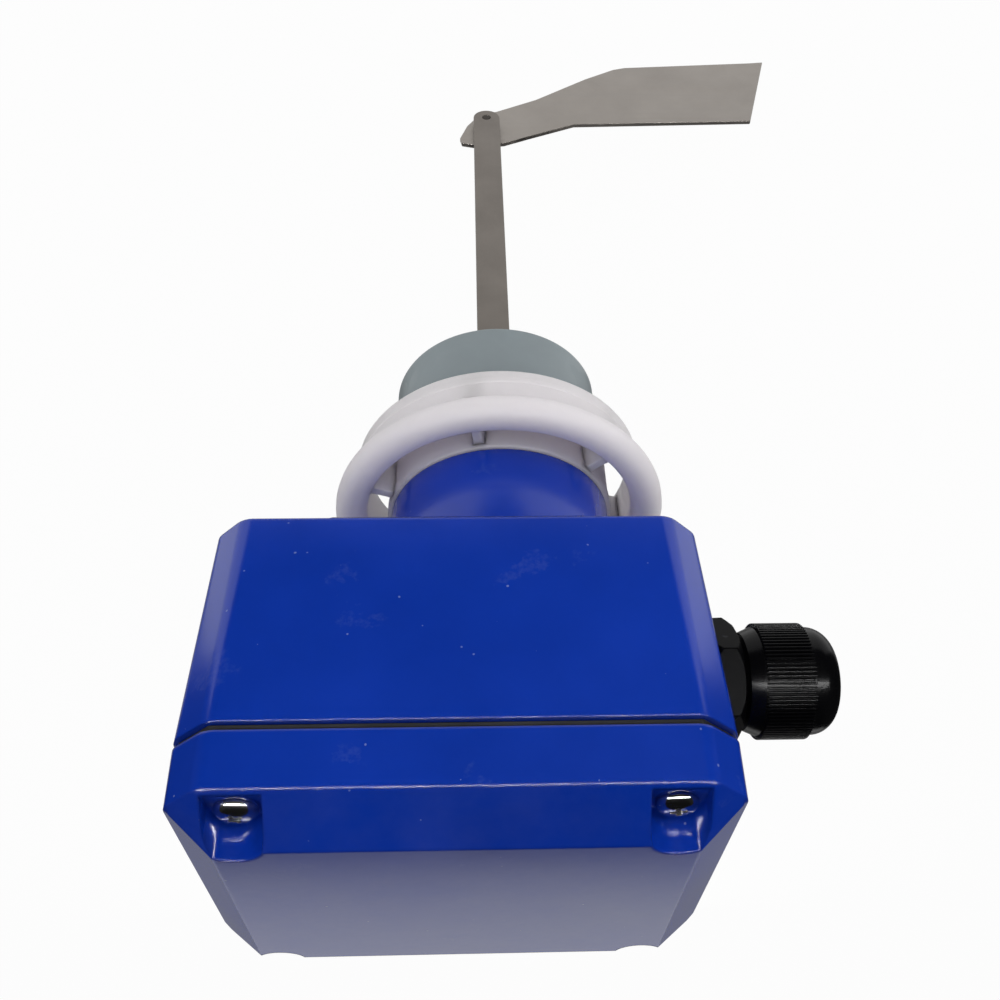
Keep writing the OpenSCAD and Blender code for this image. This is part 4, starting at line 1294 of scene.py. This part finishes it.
@dataclass
class SwitchGear:
    """Plates, motor, switches, terminals and leads inside the case."""

    soft: tuple[SoftRow, ...] = (
        (Body.HOUSING, "plate_zinc", {"mounting_plate": 0.2, "terminal_legs": 0.2, "terminal_tray": 0.2}),
        (Body.HOUSING, "screw_zinc", {"plate_screws": 0.15, "spring_posts": 0.15, "swing_stop": 0.15}),
        (Body.HOUSING, "screw_zinc", {"switch_screws": 0.12, "terminal_screws": 0.1, "tray_screws": 0.1}),
        (Body.HOUSING, "brass", {"pivot_bush": 0.15, "switch_terminals": 0.08, "earth_screw": 0.15}),
        (Body.HOUSING, "switch_plastic", {"switch_lower": 0.12, "switch_upper": 0.12}),
        (Body.HOUSING, "switch_plastic", {"terminal_block": 0.25}),
        (Body.DRIVE, "plate_zinc", {"swing_plate": 0.15}),
        (Body.DRIVE, "motor_metal", {"motor_gearbox": 0.3}),
        (Body.DRIVE, "screw_zinc", {"motor_screws": 0.15}),
        (Body.LOWER_LEVER, "sheet_steel", {"lever_lower": 0.06}),
        (Body.UPPER_LEVER, "sheet_steel", {"lever_upper": 0.06}),
        (Body.LOWER_PLUNGER, "plunger_plastic", {"plunger_lower": 0.15}),
        (Body.UPPER_PLUNGER, "plunger_plastic", {"plunger_upper": 0.15}),
    )
    can_r: float = 25.0
    can_low: float = 69.4
    can_high: float = 83.4
    spring: tuple[float, ...] = (38.0, -20.8, -6.8, 66.5, 2.2)
    spring_turns: int = 9
    wire_r: float = 0.35
    lead_r: float = 0.75
    switch_x: float = 38.45
    switch_l: float = 19.8
    board_z: float = 87.4
    block_x: float = -19.8
    block_half: float = 21.0
    pole: float = 7.0

    def _motor_can(self) -> Mesh:
        """Makes the drawn motor can with its rolled rim and lead outlet.

        Returns:
            Its mesh.
        """
        rim, wall, low, high = self.can_r, self.can_r - 0.4, self.can_low, self.can_high
        dish, outlet_r = high - 0.4, 4
        outline: list[Point] = [
            (0, low, 0), (rim - 0.3, low, 0.2), (rim, low + 0.5, 0.2), (rim, low + 1.6, 0.2),
            (wall, low + 2.0, 0.2), (wall, high - 2.0, 0.4), (rim - 2.0, high, 0.7), (rim - 6.0, high, 0.1),
            (rim - 6.4, dish, 0.1), (7.0, dish, 0.1), (6.6, high, 0.1), (0, high, 0),
        ]
        can = placed(turned(outline, 96), Matrix.Translation((CASE_X * MM, 0, 0)))
        foot, top = high - 0.6, high + 2
        outlet = turned([(0, foot, 0), (outlet_r, foot, 0.3), (outlet_r, top, 0.5), (0, top, 0)], 32)
        return joined([can, outlet])

    def _spring_route(self) -> list[Point]:
        """Gives the return spring's wire: a hook, the turns and a hook.

        Returns:
            The points of its route in millimetres.
        """
        x, y0, y1, z, r = self.spring
        hook = r + 0.4
        coil = y1 - y0 - 2 * hook
        coil_steps = self.spring_turns * 24
        route: list[Point] = []
        for turn in range(180, 0, -15):
            a = math.radians(turn)
            route.append((x, y0 + hook - hook * math.sin(a), z + hook * math.cos(a)))
        for k in range(coil_steps + 1):
            a = math.radians(k * 15)
            route.append((x + r * math.sin(a), y0 + hook + coil * k / coil_steps, z + r * math.cos(a)))
        for turn in range(15, 195, 15):
            a = math.radians(turn)
            route.append((x, y1 - hook + hook * math.sin(a), z + hook * math.cos(a)))
        return route

    def _leads(self) -> tuple[list[list[Point]], list[list[Point]]]:
        """Gives the routes of the switch leads and of the motor leads.

        Returns:
            The switches' routes and the motor's routes, in millimetres.
        """
        board, block_x, side_y = self.board_z, self.block_x, 24.7
        switches = []
        for i in range(3):
            x = self.switch_x + self.switch_l * (0.14 + 0.36 * i)
            pole_y = self.block_half - (i + 0.5) * self.pole
            rise = board + 2.6 * i
            switches.append(
                [
                    (x, side_y - 1.25, 74.5), (x, side_y, 77.3), (x - 3, side_y, rise),
                    (CASE_X, side_y, rise), (-6 - 2 * i, pole_y + 4, board + 6), (block_x, pole_y, board + 5),
                ]
            )
        motor = []
        for i in range(2):
            pole_y = (i + 0.5) * self.pole - self.block_half
            side = 2.4 * i - 1.2
            motor.append(
                [
                    (0, side, 85.7), (0, side, 89.4), (-5, pole_y / 2, 93.4), (-12, pole_y, board + 7),
                    (block_x, pole_y, board + 5),
                ]
            )
        return switches, motor

    def build(self, maker: Maker) -> None:
        """Makes the plates and switches, then the motor, the spring and the leads.

        Args:
            maker: Turns the meshes into pieces.
        """
        for row in self.soft:
            maker.soften(*row)
        maker.piece(self._motor_can(), "motor_can_drawn", Body.DRIVE, "motor_metal", ["motor_can"])
        wire = tube_along(self._spring_route(), self.wire_r)
        spring = maker.piece(wire, "return_spring_wire", None, "bearing_steel", ["return_spring"])
        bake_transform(spring)
        for routes, kind, tone in zip(self._leads(), ("switch", "motor"), ("red", "blue")):
            leads = joined([tube_along(smooth_route(route), self.lead_r) for route in routes])
            maker.piece(leads, f"{kind}_leads_{tone}", Body.HOUSING, f"{tone}_lead", [f"{kind}_leads"])


@dataclass
class Studio:
    """Pale floor, soft lamps, a dark side behind the camera, and the photograph's view."""

    floor_z: float = -0.235
    floor_half: float = 4.0
    white_share: float = 0.97
    camera_at: Point = (0.0086, -0.2077, 0.1827)
    right: Point = (-0.99943, -0.0215, 0.02584)
    down: Point = (0.00616, 0.638, 0.76961)
    forward: Point = (-0.03305, 0.76957, -0.63796)
    lens: float = 37.33
    around: float = 0.62
    overhead: float = 0.06
    strip: float = 90.0
    lamp_size: float = 0.5
    strip_half: float = 0.54

    def _camera(self) -> None:
        """Sets the camera as the photograph was taken, with the lid at the lower edge."""
        data = bpy.data.cameras.new("photo view")
        data.lens = self.lens
        data.sensor_width = 36.0
        data.clip_start = 0.005
        camera = linked("photo view", data)
        turn = Matrix((Vector(self.right), -Vector(self.down), -Vector(self.forward))).transposed()
        camera.matrix_world = Matrix.Translation(self.camera_at) @ turn.to_4x4()
        bpy.context.scene.camera = camera

    def _cloth(self, name: str, level: float) -> Material:
        """Makes an evenly lit cloth for reflections, as bright as the level says.

        Args:
            name: Name of the material.
            level: Its brightness.

        Returns:
            The material.
        """
        cloth = bpy.data.materials.new(name)
        cloth.use_nodes = True
        tree = cloth.node_tree
        glow = add_node(tree, "ShaderNodeEmission", {"Color": WHITE, "Strength": level})
        tree.links.new(glow.outputs[0], tree.nodes["Material Output"].inputs[0])
        return cloth

    def _pale_floor(self) -> Material:
        """Makes the floor, which the camera and reflections see as white with a faint shadow.

        Returns:
            The material.
        """
        floor = bpy.data.materials.new("Pale floor")
        floor.use_nodes = True
        tree = floor.node_tree
        shader = tree.nodes["Principled BSDF"]
        shader.inputs["Base Color"].default_value = (0.9, 0.9, 0.9, 1.0)
        shader.inputs["Roughness"].default_value = 0.95
        shader.inputs["Specular IOR Level"].default_value = 0.0
        white = add_node(tree, "ShaderNodeEmission", {"Color": WHITE, "Strength": 1.0})
        share = times(self._seen(tree), self.white_share)
        both = add_node(tree, "ShaderNodeMixShader", {0: share, 1: shader.outputs[0], 2: white.outputs[0]})
        tree.links.new(both.outputs[0], tree.nodes["Material Output"].inputs[0])
        return floor

    def _seen(self, tree: Tree) -> Socket:
        """Gives 1 for rays of the camera, of reflections and through glass, and 0 for others.

        Args:
            tree: The tree that gets the mask.

        Returns:
            The mask's socket.
        """
        rays = add_node(tree, "ShaderNodeLightPath")
        seen = arithmetic("MAXIMUM", rays.outputs["Is Camera Ray"], rays.outputs["Is Glossy Ray"])
        return arithmetic("MAXIMUM", seen, rays.outputs["Is Transmission Ray"])

    def _sheet(self, name: str, low: Point, high: Point, cloth: Material) -> Thing:
        """Makes one flat sheet of the studio between two corners that share one coordinate.

        Args:
            name: Its name.
            low: Its first corner.
            high: The corner opposite.
            cloth: Its material.

        Returns:
            The sheet.
        """
        first, second = (axis for axis in range(3) if low[axis] != high[axis])
        corners = [Vector(low) for _ in range(4)]
        for corner in corners[1:3]:
            corner[first] = high[first]
        for corner in corners[2:]:
            corner[second] = high[second]
        bm = bmesh.new()
        bm.faces.new([bm.verts.new(corner) for corner in corners])
        obj = as_object(bm, name)
        obj.data.materials.append(cloth)
        return obj

    def _lamp(self, name: str, at: Point, power: float, mirrored: bool = True) -> None:
        """Hangs a square soft lamp that looks at the origin.

        Args:
            name: Its name.
            at: Where it hangs.
            power: Its power in watts.
            mirrored: Whether reflections show it.
        """
        data = bpy.data.lights.new(name, "AREA")
        data.size = self.lamp_size
        data.energy = power
        lamp = linked(name, data)
        aim = (-Vector(at)).to_track_quat("-Z", "Y")
        lamp.matrix_world = Matrix.Translation(at) @ aim.to_matrix().to_4x4()
        lamp.visible_glossy = mirrored

    def _world(self) -> None:
        """Lights softly from all sides, less from above, and shows white to camera and reflections."""
        world = bpy.data.worlds.new("studio")
        bpy.context.scene.world = world
        world.use_nodes = True
        tree = world.node_tree
        ground = tree.nodes["Background"]
        place = add_node(tree, "ShaderNodeTexCoord").outputs["Generated"]
        height = add_node(tree, "ShaderNodeSeparateXYZ", {0: place}).outputs["Z"]
        lit = spread(height, 0.2, 0.65, self.around, self.overhead)
        strength = arithmetic("MAXIMUM", lit, self._seen(tree))
        ground.inputs["Color"].default_value = WHITE
        tree.links.new(strength, ground.inputs["Strength"])

    def _cloths(self) -> None:
        """Hangs what only reflections see: dark cloths all round and a bright strip over the camera."""
        z, top, front, side, back = self.floor_z, 0.75, -0.34, 0.55, 0.8
        low, near, half = z + 0.01, front + 0.01, self.strip_half
        sill, low_y, rear_y, rear_top = 0.42, 0.12, 0.79, 0.2
        dark = self._cloth("Dark cloth", 0.006)
        grey = self._cloth("Grey cloth", 0.015)
        pale = self._cloth("Pale cloth", 0.27)
        strip = self._cloth("Bright strip", self.strip)
        sheets = [
            ("front cloth", (-side, front, z), (side, front, top), dark),
            ("upper cloth", (-side, front, top), (side, back, top), dark),
            ("back cloth", (-side, back, sill), (side, back, top), dark),
            ("left cloth", (-side, front, z), (-side, back, top), grey),
            ("right cloth", (side, front, z), (side, back, top), grey),
            ("low cloth", (-side, low_y, low), (side, back, low), pale),
            ("rear cloth", (-side, rear_y, z), (side, rear_y, rear_top), pale),
            ("bright strip", (-half, near, 0.3), (half, near, 0.315), strip),
            ("thin strip", (-half, near, 0.37), (half, near, 0.377), strip),
        ]
        for name, start, end, cloth in sheets:
            sheet = self._sheet(name, start, end, cloth)
            for use in ("camera", "diffuse", "shadow", "transmission"):
                setattr(sheet, f"visible_{use}", False)

    def build(self) -> None:
        """Sets camera, floor, dark cloths, lamps and world."""
        self._camera()
        wide = self.floor_half
        self._sheet("floor", (-wide, -wide, self.floor_z), (wide, wide, self.floor_z), self._pale_floor())
        self._cloths()
        self._lamp("key", (-0.25, -0.95, 0.12), 2.5)
        self._lamp("upper", (0.2, -0.7, 0.7), 1.9)
        self._lamp("fill", (0.0, 1.1, -0.12), 2.5)
        self._lamp("left", (-0.9, -0.2, 0.0), 1.9, mirrored=False)
        self._lamp("right", (0.9, -0.2, 0.0), 1.1, mirrored=False)
        self._world()
        bpy.context.scene.view_settings.view_transform = "Standard"


def main() -> None:
    """Builds the studio and each sub-assembly in order."""
    logging.basicConfig(level=logging.INFO, format="%(relativeCreated)7d ms %(message)s")
    maker = Maker()
    Studio().build()
    for assembly in (
        Casting("housing_base", "case_casting", Body.HOUSING, 70.5, 82.4),
        Casting("lid", "lid_casting", Body.COVER, 101.15, 83.0),
        LidScrews(),
        GripNut(),
        SteelSocket(),
        CableGland(),
        ShaftLine(),
        SwitchGear(),
    ):
        assembly.build(maker)
    LOG.info("%d pieces made", maker.count)


if __name__ == "__main__":
    main()
